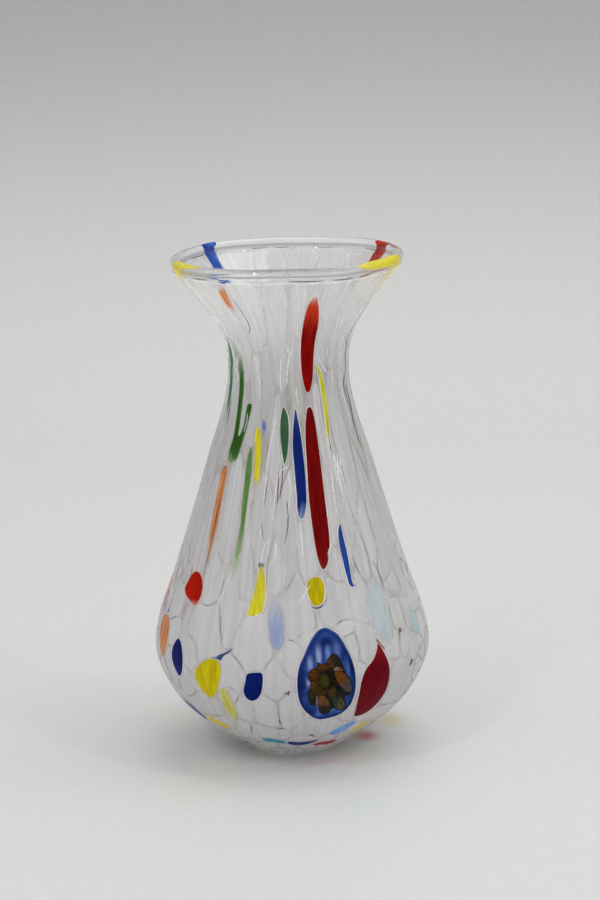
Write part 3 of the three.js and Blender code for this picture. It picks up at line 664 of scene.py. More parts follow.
def clear_glass():
    m, N, L = material("clear_glass")
    g = node(N, "ShaderNodeBsdfGlass", Roughness=0.0, IOR=1.5)
    g.inputs["Color"].default_value = (0.985, 0.99, 0.988, 1)
    # faint cords and seeds in the blown wall
    w = flow_noise(N, L, 0.9, 0.06, detail=2.0)
    b = node(N, "ShaderNodeBump", Strength=0.06, Distance=0.0006)
    L.new(w, b.inputs["Height"])
    L.new(b.outputs["Normal"], g.inputs["Normal"])
    clear = node(N, "ShaderNodeBsdfTransparent")
    clear.inputs["Color"].default_value = (0.88, 0.89, 0.885, 1)
    path = node(N, "ShaderNodeLightPath")
    mix = node(N, "ShaderNodeMixShader")
    out = node(N, "ShaderNodeOutputMaterial")
    L.new(path.outputs["Is Shadow Ray"], mix.inputs[0])
    L.new(g.outputs[0], mix.inputs[1])
    L.new(clear.outputs[0], mix.inputs[2])
    L.new(mix.outputs[0], out.inputs["Surface"])
    return m


def white_glass(name, low, high, tint_low, tint_high, through=0.3):
    """Milky glass: cloudier in a chip's middle, clearer at its edge, with fine streaks drawn along the flow."""
    m, N, L = material(name)
    edge, rnd = attr(N, "edge"), attr(N, "rnd")
    streak = flow_noise(N, L, 0.8, 0.03, detail=3.0, rough=0.5)
    cloud = flow_noise(N, L, 0.22, 0.5, detail=2.0, offset=7.0)
    colour = blend_colour(N, L, remap(N, L, streak, 0.3, 0.7), tint_low, tint_high)
    shade = remap(N, L, rnd.outputs["Fac"], 0, 1, 0.955, 1.0, smooth=False)
    v = node(N, "ShaderNodeVectorMath", operation="SCALE")
    L.new(colour, v.inputs[0])
    L.new(shade, v.inputs["Scale"])
    a = remap(N, L, edge.outputs["Fac"], 0.0, 0.0007, 0.62, 1.0)
    b = remap(N, L, streak, 0.36, 0.66, low, high)
    c = remap(N, L, cloud, 0.3, 0.7, 0.94, 1.06)
    d = remap(N, L, rnd.outputs["Fac"], 0, 1, 0.92, 1.06, smooth=False)
    alpha = maths(N, L, "MULTIPLY", maths(N, L, "MULTIPLY", a, b), maths(N, L, "MULTIPLY", c, d))
    alpha = maths(N, L, "MINIMUM", alpha, 0.97)
    return finish_chip(m, N, L, v.outputs[0], alpha, roughness=0.06, through=through, specular=0.7, lamp=(0.70, 0.70, 0.705, 1))


LIFT = 1.6


def lifted(rgb, k=None):
    k = k or LIFT
    c = srgb(*rgb)
    return tuple(min(0.95, v * k) for v in c[:3]) + (1.0,)


def inlay_glass(name, main, bottom=None, top=None, fade_bottom=0.0, fade_top=0.0, fade_side=0.28, reach=(0.25, 0.25),
                streaky=0.5, opacity=1.0, through=0.3, lift=None):
    """Coloured glass. main: sRGB. bottom and top: colours at its ends. fades: mm over which it thins out to clear."""
    m, N, L = material("glass_" + name)
    edge, along, flow = attr(N, "edge"), attr(N, "along"), attr(N, "flow")
    streak = flow_noise(N, L, 1.7, 0.07, detail=4.0, rough=0.6, offset=float(RNG.uniform(0, 40)))
    base = lifted(main, lift)
    dark = tuple(v * (1 - 0.36 * streaky) for v in base[:3]) + (1.0,)
    light = tuple(min(0.95, v * (1 + 0.34 * streaky) + 0.004 * streaky) for v in base[:3]) + (1.0,)
    colour = blend_colour(N, L, remap(N, L, streak, 0.33, 0.67), dark, light)
    jag = maths(N, L, "ADD", along.outputs["Fac"], remap(N, L, streak, 0.3, 0.7, -0.06, 0.06))
    if bottom is not None:
        colour = blend_colour(N, L, remap(N, L, jag, 0.0, reach[0]), lifted(bottom, lift), colour)
    if top is not None:
        colour = blend_colour(N, L, remap(N, L, jag, 1.0 - reach[1], 1.0), colour, lifted(top, lift))
    alpha = remap(N, L, edge.outputs["Fac"], 0.0, fade_side * 0.001, 0.35, opacity)
    if fade_bottom:
        alpha = maths(N, L, "MULTIPLY", alpha, remap(N, L, jag, -0.04, fade_bottom, 0.02, 1.0))
    if fade_top:
        alpha = maths(N, L, "MULTIPLY", alpha, remap(N, L, jag, 1.0 - fade_top, 1.03, 1.0, 0.02))
    tint = tuple(0.25 + 0.75 * v / max(srgb(*main)[:3]) for v in srgb(*main)[:3]) + (1.0,)
    return finish_chip(m, N, L, colour, alpha, roughness=0.08, through=through, specular=0.06, lamp=tint)


# ---------------------------------------------------------------- the clear vessel
def vessel():
    seg = 288
    th = np.arange(seg) * 2 * math.pi / seg
    rows = []
    for r in (4.0, 9.0, 12.4, 13.5):
        x, y, z = settle(r * np.sin(th), -r * np.cos(th), np.zeros(seg))
        rows.append(np.stack([x, y, z], 1) * MM)
    s_list = list(np.arange(0, 6, 0.6)) + list(np.arange(6, S_WALL - 4, 1.5)) + list(np.arange(S_WALL - 4, S_END - 0.05, 0.42)) + [S_END]
    for s in s_list:
        rows.append(place(th, s, 0.0))
    outer = len(rows)
    inner = []
    for s in np.arange(S_WALL - 2.6, float(s_of(37)), -2.0):
        r, z = r_of(s), z_of(s)
        nr, nz = np.interp(s, STEP, NORM[:, 0]), np.interp(s, STEP, NORM[:, 1])
        inner.append((r - nr * WALL, z - nz * WALL))
    base, _ = catmull([inner[-1]] + INNER_BASE, per=5)
    base[-1] = INNER_BASE[-1]
    for r, z in inner[:-1] + [tuple(p) for p in base[:-1]]:
        rr = r + 0.04 * ripple(th + 0.31) * float(smoothstep(52, 110, z)) * (1 - float(smoothstep(146, 155, z)))
        x, y, zz = settle(rr * np.sin(th), -rr * np.cos(th), np.full(seg, z))
        rows.append(np.stack([x, y, zz], 1) * MM)
    V = [(0, 0, 0)]
    for R in rows:
        V.extend(R.tolist())
    V.append((0, 0, INNER_BASE[-1][1] * MM))
    F = []
    for i in range(seg):
        j = (i + 1) % seg
        F.append([0, 1 + j, 1 + i])
    for k in range(len(rows) - 1):
        a, b = 1 + k * seg, 1 + (k + 1) * seg
        for i in range(seg):
            j = (i + 1) % seg
            F.append([a + i, a + j, b + j, b + i])
    a, last = 1 + (len(rows) - 1) * seg, len(V) - 1
    for i in range(seg):
        F.append([a + i, a + (i + 1) % seg, last])
    ob = new_object("clear_vessel", V, F)
    co = np.array(V) / MM
    point_attribute(ob, "flow", "FLOAT_VECTOR", np.stack([np.arctan2(co[:, 0], -co[:, 1]) * 25, co[:, 2], np.hypot(co[:, 0], co[:, 1])], 1))
    ob.data.materials.append(clear_glass())
    return done(ob, "clear_glass", "clear_glass_body")


vessel()


# ---------------------------------------------------------------- inlay outlines in the flat
def flat_outline(pts, is_s=False):
    """Outline in mm round a centre: x along the skin, y up it. Gives the points and the centre (theta, s)."""
    P = np.array(pts, float)
    th = np.radians(P[:, 0])
    s = P[:, 1] if is_s else s_of(P[:, 1])
    tc, sc = float((th.max() + th.min()) / 2), float((s.max() + s.min()) / 2)
    return np.stack([(th - tc) * r_of(sc), s - sc], 1), (tc, sc)


RIM = {  # outlines of the pieces that run over the lip, in degrees and mm along the skin
    "rim_blue_streak": [(-137.4, S_LIP + 1.6), (-133.8, S_LIP + 2.0), (-130.6, S_LIP + 1.4), (-130.2, S_WALL), (-130.2, S_WALL - 5), (-131, S_WALL - 11),
                        (-134, S_WALL - 13), (-137, S_WALL - 11), (-137.6, S_WALL - 4), (-138, S_WALL)],
    "rim_red_streak": [(114.2, S_LIP + 1.4), (119, S_LIP + 2.0), (123.6, S_LIP + 1.2), (124.2, S_WALL), (123.6, S_WALL - 5), (121, S_WALL - 10),
                       (117, S_WALL - 10), (114.4, S_WALL - 5), (113.8, S_WALL)],
    "rim_yellow_left": [(-75, S_LIP - 0.5), (-67, S_LIP + 0.6), (-57, S_LIP + 0.3), (-46, S_LIP - 0.6), (-53, S_LIP - 1.7), (-62, S_LIP - 2.6),
                        (-68, S_WALL - 1.0), (-71, S_WALL - 6), (-76, S_WALL - 9.6), (-76.5, S_WALL - 5), (-74.5, S_WALL + 0.4)],
    "rim_yellow_right": [(37, S_LIP - 1.2), (47, S_LIP + 0.3), (60, S_LIP + 0.5), (71, S_LIP - 0.3), (77, S_WALL + 0.6), (77, S_WALL - 5),
                         (73.5, S_WALL - 12), (67.5, S_WALL - 16), (68.5, S_WALL - 9), (71, S_WALL - 3.6), (68, S_WALL + 0.6), (56, S_WALL + 1.4), (46, S_WALL + 1.7)],
}
PLANS = {}  # every coloured outline, for the white chips to keep clear of
for name, (_, pts) in INLAYS.items():
    if name in ("murrina_petals", "murrina_core"):
        continue
    P, c = flat_outline(RIM[name], True) if name in RIM else flat_outline(pts)
    PLANS[name] = (closed_spline(P, 0.6), c)
_own = np.random.default_rng(41)
for name in PLANS:  # the pieces round the sides and back: hand-broken chips, so none is a true oval
    if "_back" in name or name.endswith("_side"):
        P, c = PLANS[name]
        q = np.arctan2(P[:, 1] / np.ptp(P[:, 1]), P[:, 0] / np.ptp(P[:, 0]))
        a = _own.uniform(0, 6.28, 3)
        k = 0.95 + 0.045 * np.sin(2 * q + a[0]) + 0.06 * np.sin(3 * q + a[1]) + 0.025 * np.sin(5 * q + a[2])
        PLANS[name] = (P * k[:, None], c)
TRACE_PLANS = {}
for name, (_, pts) in TRACES.items():
    P, c = flat_outline(pts)
    TRACE_PLANS[name] = (closed_spline(P, 0.35), c)


def wrap(a):
    return (a + math.pi) % (2 * math.pi) - math.pi


def clear_of_inlays(th, s, plans):
    """Distance, mm, from each point to the nearest coloured outline, negative inside one, at most 4."""
    best = np.full(th.shape, 4.0)
    for P, (tc, sc) in plans.values():
        x, y = wrap(th - tc) * r_of(sc), s - sc
        lo, hi = P.min(0) - 2, P.max(0) + 2
        near = (x > lo[0]) & (x < hi[0]) & (y > lo[1]) & (y < hi[1])
        if near.any():
            best[near] = np.minimum(best[near], -edge_distance(np.stack([x[near], y[near]], 1), P))
    return best


# ---------------------------------------------------------------- the white chips: round low down, drawn out towards the mouth
SIZES = np.array([  # height, half width, half length
    (0, 3.2, 3.0), (12, 3.8, 3.8), (30, 4.2, 4.7), (46, 4.1, 5.6), (56, 3.8, 7.5), (66, 3.4, 12), (84, 3.3, 22),
    (108, 3.2, 22), (128, 3.2, 19), (146, 4.4, 16), (158, 5.2, 14)])


def size_at(z):
    return np.interp(z, SIZES[:, 0], SIZES[:, 1]), np.interp(z, SIZES[:, 0], SIZES[:, 2])


def chip_seeds():
    out = [(math.radians(d), float(s_of(z)), max(a, 2.0), max(b, 2.4)) for d, z, a, b in FRONT_CHIPS]
    hand = np.array(out)
    s, row = float(s_of(2.4)), 0
    while s < S_WALL + 1:
        z = float(z_of(s))
        a, b = size_at(z)
        n = max(5, int(round(math.pi * float(r_of(s)) / a)))
        first = RNG.uniform()
        for i in range(n):
            th = (i + first + (row % 2) * 0.5 + RNG.uniform(-0.2, 0.2)) / n * 2 * math.pi
            ss = s + RNG.uniform(-0.42, 0.42) * b
            ss = min(max(ss, 1.5), S_WALL - 2)
            aa, bb = a * RNG.uniform(0.82, 1.2), b * RNG.uniform(0.8, 1.2)
            t = wrap(th)
            zz = float(z_of(ss))
            if abs(math.degrees(t)) < 66 and 11 < zz < 66:
                d = np.sqrt((wrap(hand[:, 0] - t) * r_of(ss) / hand[:, 2]) ** 2 + ((hand[:, 1] - ss) / hand[:, 3]) ** 2)
                if d.min() < 1.75:
                    continue
            out.append((t, ss, aa, bb))
        s += 1.62 * b
        row += 1
    S = np.array(out)
    # a chip that would start inside a coloured one is pushed aside, or left out if there is no room
    free = clear_of_inlays(S[:, 0], S[:, 1], PLANS)
    kept = S[free > 0.9].tolist()
    for th, s, a, b in S[free <= 0.9]:
        best = None
        for dx in (1.5, -1.5, 2.5, -2.5, 3.5, -3.5, 5.0, -5.0, 7.0, -7.0):
            t = wrap(th + dx / r_of(s))
            if clear_of_inlays(np.array([t]), np.array([s]), PLANS)[0] < 0.9:
                continue
            K = np.array(kept)
            near = np.sqrt((wrap(K[:, 0] - t) * r_of(s) / K[:, 2]) ** 2 + ((K[:, 1] - s) / K[:, 3]) ** 2).min()
            if near > 1.15 and (best is None or near > best[0]):
                best = (near, t)
        if best:
            kept.append([best[1], s, a * 0.9, b * 0.9])
    return np.array(kept)


def grow_chips(S, rays=44, steps=60, gap=0.14):
    """Where each chip meets its neighbours: every chip's reach in every direction, and who it meets there."""
    n = len(S)
    phi = np.arange(rays) * 2 * math.pi / rays
    t = np.linspace(0.03, 2.7, steps)
    dx = np.cos(phi)[None, :, None] * t[None, None, :] * S[:, 2][:, None, None]
    dy = np.sin(phi)[None, :, None] * t[None, None, :] * S[:, 3][:, None, None]
    s = S[:, 1][:, None, None] + dy
    th = S[:, 0][:, None, None] + dx / r_of(S[:, 1])[:, None, None]
    s = np.clip(s, 0.2, S_END)
    r = r_of(s)
    own = (wrap(th - S[:, 0][:, None, None]) * r / S[:, 2][:, None, None]) ** 2 + ((s - S[:, 1][:, None, None]) / S[:, 3][:, None, None]) ** 2
    d0 = (wrap(S[:, 0][:, None] - S[None, :, 0]) * 0.5 * (r_of(S[:, 1])[:, None] + r_of(S[:, 1])[None, :]) / (S[:, 2][:, None] + S[None, :, 2])) ** 2 + (
        (S[:, 1][:, None] - S[None, :, 1]) / (S[:, 3][:, None] + S[None, :, 3])) ** 2
    np.fill_diagonal(d0, 1e9)
    order = np.argsort(d0, 1)[:, :26]
    other = np.full(own.shape, 1e9)
    who = np.zeros(own.shape, int)
    for k in range(order.shape[1]):
        j = order[:, k]
        f = (wrap(th - S[j, 0][:, None, None]) * r / S[j, 2][:, None, None]) ** 2 + ((s - S[j, 1][:, None, None]) / S[j, 3][:, None, None]) ** 2
        closer = f < other
        other = np.where(closer, f, other)
        who = np.where(closer, j[:, None, None], who)
    g = np.sqrt(other) - np.sqrt(own)
    free = clear_of_inlays(th.ravel(), s.ravel(), PLANS).reshape(th.shape) - gap
    limit = np.minimum(S_WALL + 0.2 - s, s - 0.9)  # the skin ends under the lip and above the foot
    both = np.minimum(np.minimum(g, free), limit)
    out = both < 0
    first = np.where(out.any(2), out.argmax(2), steps - 1)
    first = np.maximum(first, 1)
    i, k = np.indices(first.shape)
    g1, g0 = both[i, k, first], both[i, k, first - 1]
    f = np.clip(g0 / np.maximum(g0 - g1, 1e-9), 0, 1)
    reach = t[first - 1] + f * (t[first] - t[first - 1])
    meets = np.where((g[i, k, first] <= np.minimum(free, limit)[i, k, first]) & out.any(2), who[i, k, first], -1)
    return phi, reach, meets


SEEDS = chip_seeds()
PHI, REACH, MEETS = grow_chips(SEEDS)


def white_chips():
    groups = {"white_chips_base": [], "white_chips_belly": [], "white_streaks_shoulder": [], "white_streaks_neck": []}
    for i, (tc, sc, a, b) in enumerate(SEEDS):
        t = REACH[i].copy()
        for _ in range(3):
            t = np.minimum(t, 0.25 * np.roll(t, 1) + 0.5 * t + 0.25 * np.roll(t, -1))
        P = np.stack([t * a * np.cos(PHI), t * b * np.sin(PHI)], 1)
        z = float(z_of(sc))
        tall = z > 62
        step = 1.5 if tall else 0.85
        P = closed_spline(P, step)
        if area_of(P) < 0:
            P = P[::-1]
        tan = np.roll(P, -1, 0) - np.roll(P, 1, 0)
        tan /= np.maximum(np.linalg.norm(tan, axis=1)[:, None], 1e-9)
        nin = np.stack([-tan[:, 1], tan[:, 0]], 1)
        gap = RNG.uniform(0.02, 0.15) if not tall else RNG.uniform(-0.02, 0.04)
        Q = P + nin * gap
        if area_of(Q) < (2.2 if not tall else 3.0):
            continue
        Q = closed_spline(Q, step)
        if edge_distance(np.array([[0.0, 0.0]]), Q)[0] < 0.2 and area_of(Q) < 6:
            continue
        height = RNG.uniform(0.06, 0.11) * (1.0 if z < 62 else 0.85)
        lean = RNG.uniform(-0.008, 0.008, 2) * (1.0 if z < 62 else 0.2)
        lift = pillow(-0.05, height, 1.1 if not tall else 0.8)

        def top(D, V, lift=lift, lean=lean):
            return lift(D, V) + (V @ lean) * np.clip(D, 0, 1) * (0.3 if abs(V).max() > 12 else 1)

        try:
            th, s, off, D, F = chip_arrays(Q, (tc, sc), (0.14, 0.4, 0.9) if not tall else (0.16, 0.5), 1.5,
                                           top, 0.75, -0.05)
        except Exception as e:  # a sliver that can't be filled
            print("chip left out", i, e)
            continue
        key = "white_chips_base" if z < 24 else "white_chips_belly" if z < 62 else "white_streaks_shoulder" if z < 104 else "white_streaks_neck"
        groups[key].append((th, s, off, D, F, RNG.uniform()))
    look = {
        "white_chips_base": white_glass("milk_base", 0.90, 0.97, MILK_LOW, MILK_HIGH),
        "white_chips_belly": white_glass("milk_belly", 0.90, 0.97, MILK_LOW, MILK_HIGH),
        "white_streaks_shoulder": white_glass("milk_shoulder", 0.78, 0.94, MILK_LOW, MILK_HIGH),
        "white_streaks_neck": white_glass("milk_neck", 0.36, 0.44, (0.92, 0.91, 0.92, 1), (0.98, 0.98, 0.985, 1), through=0.55),
    }
    for key, chips in groups.items():
        V, F, flow, edge, rnd, n = [], [], [], [], [], 0
        for th, s, off, D, f, q in chips:
            V.append(place(th, s, off))
            flow.append(np.stack([th * 25, s, off], 1))
            edge.append(D * MM)
            rnd.append(np.full(len(th), q))
            F += [[v + n for v in t] for t in f]
            n += len(th)
        ob = new_object(key, np.concatenate(V), F)
        point_attribute(ob, "flow", "FLOAT_VECTOR", np.concatenate(flow))
        point_attribute(ob, "edge", "FLOAT", np.concatenate(edge))
        point_attribute(ob, "rnd", "FLOAT", np.concatenate(rnd))
        ob.data.materials.append(look[key])
        done(ob, "white_glass", "white_chip_layer")
        print(key, len(chips), "chips", len(F), "faces")


white_chips()


def underlayer():
    """The thin milky film the chips were picked up on, between them and the clear wall."""
    seg = 192
    th = np.arange(seg) * 2 * math.pi / seg
    ss = np.linspace(2.0, S_WALL - 1.5, 110)
    rows = [place(th, q, 0.015) for q in ss] + [place(th, q, -0.12) for q in ss[::-1]]
    V, F, n = np.concatenate(rows), [], len(rows)
    for k in range(n):
        a, b = k * seg, ((k + 1) % n) * seg
        for i in range(seg):
            j = (i + 1) % seg
            F.append([a + i, a + j, b + j, b + i])
    ob = new_object("milky_underlayer", V, F)
    s2 = np.concatenate([np.full(seg, q) for q in list(ss) + list(ss[::-1])])
    point_attribute(ob, "flow", "FLOAT_VECTOR", np.stack([np.tile(np.where(th > math.pi, th - 2 * math.pi, th) * 25, n), s2, np.zeros(len(s2))], 1))
    point_attribute(ob, "film", "FLOAT", np.interp(s2, [0, 20, 60, 95, 125, 150], [0.72, 0.80, 0.94, 0.86, 0.42, 0.26]))
    m, N, L = material("milk_film")
    v = flow_noise(N, L, 0.5, 0.2, detail=3.0, offset=21.0)
    colour = blend_colour(N, L, remap(N, L, v, 0.3, 0.7), (0.73, 0.70, 0.69, 1), (0.80, 0.775, 0.765, 1))
    alpha = maths(N, L, "MULTIPLY", attr(N, "film").outputs["Fac"], remap(N, L, v, 0.3, 0.7, 0.75, 1.25))
    finish_chip(m, N, L, colour, alpha, roughness=0.08, through=0.4, specular=0.3, lamp=(0.93, 0.93, 0.93, 1))
    ob.data.materials.append(m)
    return done(ob, "white_glass", "white_chip_layer")


underlayer()


# ---------------------------------------------------------------- strands: thin seams, and white threads that run between the chips, partly painted highlights
def strand_arrays(th, s, width, off, thick):
    """A closed thin body along points, pointed at both ends."""
    n = len(th)
    r = r_of(s)
    x = th * r
    tx, ty = np.gradient(x), np.gradient(s)
    L = np.maximum(np.hypot(tx, ty), 1e-9)
    sx, sy = -ty / L, tx / L
    V_th, V_s, V_o = [th[0]], [s[0]], [off]
    for i in range(1, n - 1):
        w = width[i] / 2
        V_th += [th[i] + sx[i] * w / r[i], th[i], th[i] - sx[i] * w / r[i], th[i]]
        V_s += [s[i] + sy[i] * w, s[i], s[i] - sy[i] * w, s[i]]
        V_o += [off, off + thick, off, off - thick]
    V_th.append(th[-1])
    V_s.append(s[-1])
    V_o.append(off)
    m = n - 2
    F = []
    for q in range(4):
        F.append([0, 1 + q, 1 + (q + 1) % 4])
    for i in range(m - 1):
        for q in range(4):
            a, b = 1 + i * 4, 1 + (i + 1) * 4
            F.append([a + q, b + q, b + (q + 1) % 4, a + (q + 1) % 4])
    a, e = 1 + (m - 1) * 4, len(V_th) - 1
    for q in range(4):
        F.append([a + q, e, a + (q + 1) % 4])
    return np.array(V_th), np.array(V_s), np.array(V_o), F


def seams():
    """Runs of border shared by two chips, each taken once."""
    out = []
    for i in range(len(SEEDS)):
        m = MEETS[i]
        k, n = 0, len(m)
        start = next((q for q in range(n) if m[q] != m[q - 1]), 0)
        idx = [(start + q) % n for q in range(n)]
        run = [idx[0]]
        for a, b in zip(idx, idx[1:] + [None]):
            if b is not None and m[b] == m[a]:
                run.append(b)
                continue
            j = m[a]
            if j > i and len(run) >= 3:
                t = REACH[i][run]
                x, y = t * SEEDS[i, 2] * np.cos(PHI[run]), t * SEEDS[i, 3] * np.sin(PHI[run])
                out.append((SEEDS[i, 0] + x / r_of(SEEDS[i, 1]), SEEDS[i, 1] + y))
            run = [b] if b is not None else []
    return out


SEAMS = seams()


def resample(th, s, step):
    x = np.concatenate([[0], np.cumsum(np.hypot(np.diff(th) * r_of(s[1:]), np.diff(s)))])
    n = max(5, int(x[-1] / step) + 1)
    q = np.linspace(0, x[-1], n)
    return np.interp(q, x, th), np.interp(q, x, s), x[-1]


def gather(name, strands, mat, slot):
    V, F, flow, rnd, n = [], [], [], [], 0
    for th, s, o, f in strands:
        V.append(place(th, s, o))
        flow.append(np.stack([th * 25, s, o], 1))
        rnd.append(np.full(len(th), RNG.uniform()))
        F += [[v + n for v in t] for t in f]
        n += len(th)
    ob = new_object(name, np.concatenate(V), F)
    point_attribute(ob, "flow", "FLOAT_VECTOR", np.concatenate(flow))
    point_attribute(ob, "rnd", "FLOAT", np.concatenate(rnd))
    ob.data.materials.append(mat)
    return done(ob, slot)


def seam_glass(name, dark, light, low, high):
    m, N, L = material(name)
    rnd = attr(N, "rnd")
    v = flow_noise(N, L, 0.8, 0.8, detail=3.0, offset=3.0)
    colour = blend_colour(N, L, remap(N, L, v, 0.3, 0.7), dark, light)
    alpha = maths(N, L, "MULTIPLY", remap(N, L, v, 0.25, 0.7, low, high), remap(N, L, rnd.outputs["Fac"], 0, 1, 0.55, 1.1, smooth=False))
    return finish_chip(m, N, L, colour, maths(N, L, "MINIMUM", alpha, 1.0), roughness=0.15, through=0.3, specular=0.3)


# white lines between the drawn-out chips: partly white glass, partly painted highlights standing in for light caught by
# the ridges and grooves
WHITE_THREADS_AND_HIGHLIGHTS = [
    [(-22.3, 155.4), (-24.4, 151.2), (-25, 148.4)],
    [(-14.7, 155.6), (-15.1, 151.4), (-14.8, 148.1)],
    [(-10.7, 156.1), (-10.3, 151.5), (-9.3, 146), (-7.1, 142.1)],
    [(-1.6, 155.6), (-2.7, 152.6), (-3.5, 150.4)],
    [(4.9, 156), (6.4, 150.3), (7, 143.7), (7.7, 136.1)],
    [(15.6, 155), (14.9, 152.3), (14.9, 150.1)],
    [(26.6, 154.7), (27.3, 150), (28.9, 142.9), (32.6, 135.3)],
    [(23, 153.5), (23.1, 149.7)],
    [(-31, 155), (-30.4, 150.4), (-31.1, 145.4), (-26.6, 141.2)],
    [(-2.2, 134.3), (0.1, 132.5), (1.8, 130.7)],
    [(4.8, 133.8), (3.5, 132), (1.8, 130.7), (-0, 128.5), (-0.9, 126), (-1.5, 121.1)],
    [(-32.8, 132), (-30.2, 126.6), (-28, 121.7), (-27.8, 116.4)],
    [(-6.8, 130), (-7.6, 123), (-6.6, 118.2)],
    [(7.9, 121), (6.9, 118.1), (9.5, 115.2)],
    [(25.1, 131.5), (32.3, 127.7), (39.7, 123.9)],
    [(45.9, 125.6), (46, 119.7)],
    [(37.6, 133), (38.4, 128.5)],
    [(-40.3, 153.7), (-40, 148.8), (-40.8, 143.9), (-39.6, 140.7)],
    [(35.5, 154.1), (37, 148.9), (39, 142.4), (43.4, 134.8)],
    [(33.1, 104), (34.6, 97.3), (35.4, 88.8), (34.9, 84.3)],
    [(-16.4, 90.1), (-17, 81.2), (-17.3, 75.3)],
    [(-8.2, 75.5), (-8.9, 69.6), (-12, 67.8)],
    [(-37.4, 53.3), (-34.9, 57.6), (-31.4, 65.1)],
    [(2.9, 56.5), (6.9, 60.2), (9.6, 62.4)],
    [(36.3, 85.7), (38.6, 79.5), (40.4, 71.8)],
    [(-1.2, 96.1), (-0, 90.2), (-2.1, 81.4)],
    [(-59.7, 78.1), (-60.2, 70.3), (-61.8, 62.3)],
    [(5.6, 81.3), (6.1, 73.9), (6.2, 69.5)],
    [(-11.4, 111.4), (-15.4, 100.1), (-16.1, 93), (-16.5, 80.3)],
    [(0.2, 97.3), (-6.7, 95.5), (-9.1, 90.2), (-10.9, 80.4)],
    [(33.4, 99.8), (32.9, 95.6), (32.4, 90.8)],
    [(37.2, 100.1), (35.1, 94.8), (35, 89.7)],
    [(40.1, 98.7), (37.4, 95.9), (38, 92.2)],
    [(33.8, 97.3), (34.5, 91.9), (35.5, 85.8)],
    [(-11, 75.4), (-14.2, 73.9), (-15.5, 70.6), (-15.7, 67.7)],
    [(32.1, 114.9), (31.6, 101.3), (37.6, 93.2), (41.8, 78.3)],
    [(23.7, 74), (20.8, 71.9), (19.7, 69.6)],
    [(29.5, 95.2), (28.7, 89.2), (28.8, 81.7)],
    [(-38.3, 112.5), (-38.2, 108.9), (-39.3, 106.1)],
]
DARK_THREADS = [
    [(71.6, 143.2), (68.9, 138.3), (64.8, 134), (67.9, 128.3), (68.4, 123.3), (63.1, 119.2), (66.4, 113.6), (67.6, 108.6)],
    [(-70.7, 151.3), (-81, 144.3), (-82.7, 138.5), (-67.6, 136.5)],
    [(-48, 136.1), (-47.3, 134.3)],
    [(-32.6, 150.3), (-30.4, 144.9), (-29.7, 140), (-33.8, 137.2)],
    [(66.4, 118.9), (70, 113.9), (66, 106.3), (66.3, 98.5)],
    [(-14.7, 93.1), (-17, 81.2), (-15, 75.3)],
    [(-2, 87.3), (-1.5, 79.9), (-3.7, 74)],
    [(46.5, 66.5), (49.5, 61.6), (50.6, 56.2)],
]
BROWN_THREADS = [
    [(-49.4, 94.4), (-49.4, 88.3), (-49.2, 80.7), (-48.7, 71.6), (-49, 65.2)],
    [(-7.4, 96.1), (-7.8, 90.8), (-8.2, 85.8)],
    [(-4.7, 97.6), (-5.3, 92.6), (-6.4, 87.2)],
    [(32.2, 104), (32.3, 101), (32.8, 98.6)],
    [(33.8, 69.1), (35, 66), (36.5, 63.4)],
]
HALOS = ("red_streak_upper", "red_streak_lower", "blue_streak_centre", "blue_streak_right", "murrina_ground", "red_chip_right",
         "blue_square_chip", "yellow_centre_chip", "yellow_triangle_chip", "blue_chip_left", "sea_green_spindle", "red_streak_back",
         "blue_streak_back", "blue_chip_back", "red_chip_back", "yellow_thread_neck")


def thread_path(path):
    """A smooth run through (degrees, mm) points."""
    Q = np.array([(math.radians(t), float(s_of(z))) for t, z in path])
    if len(Q) > 2:
        Q, _ = catmull(Q, per=8)
    return resample(Q[:, 0], Q[:, 1], 0.8)


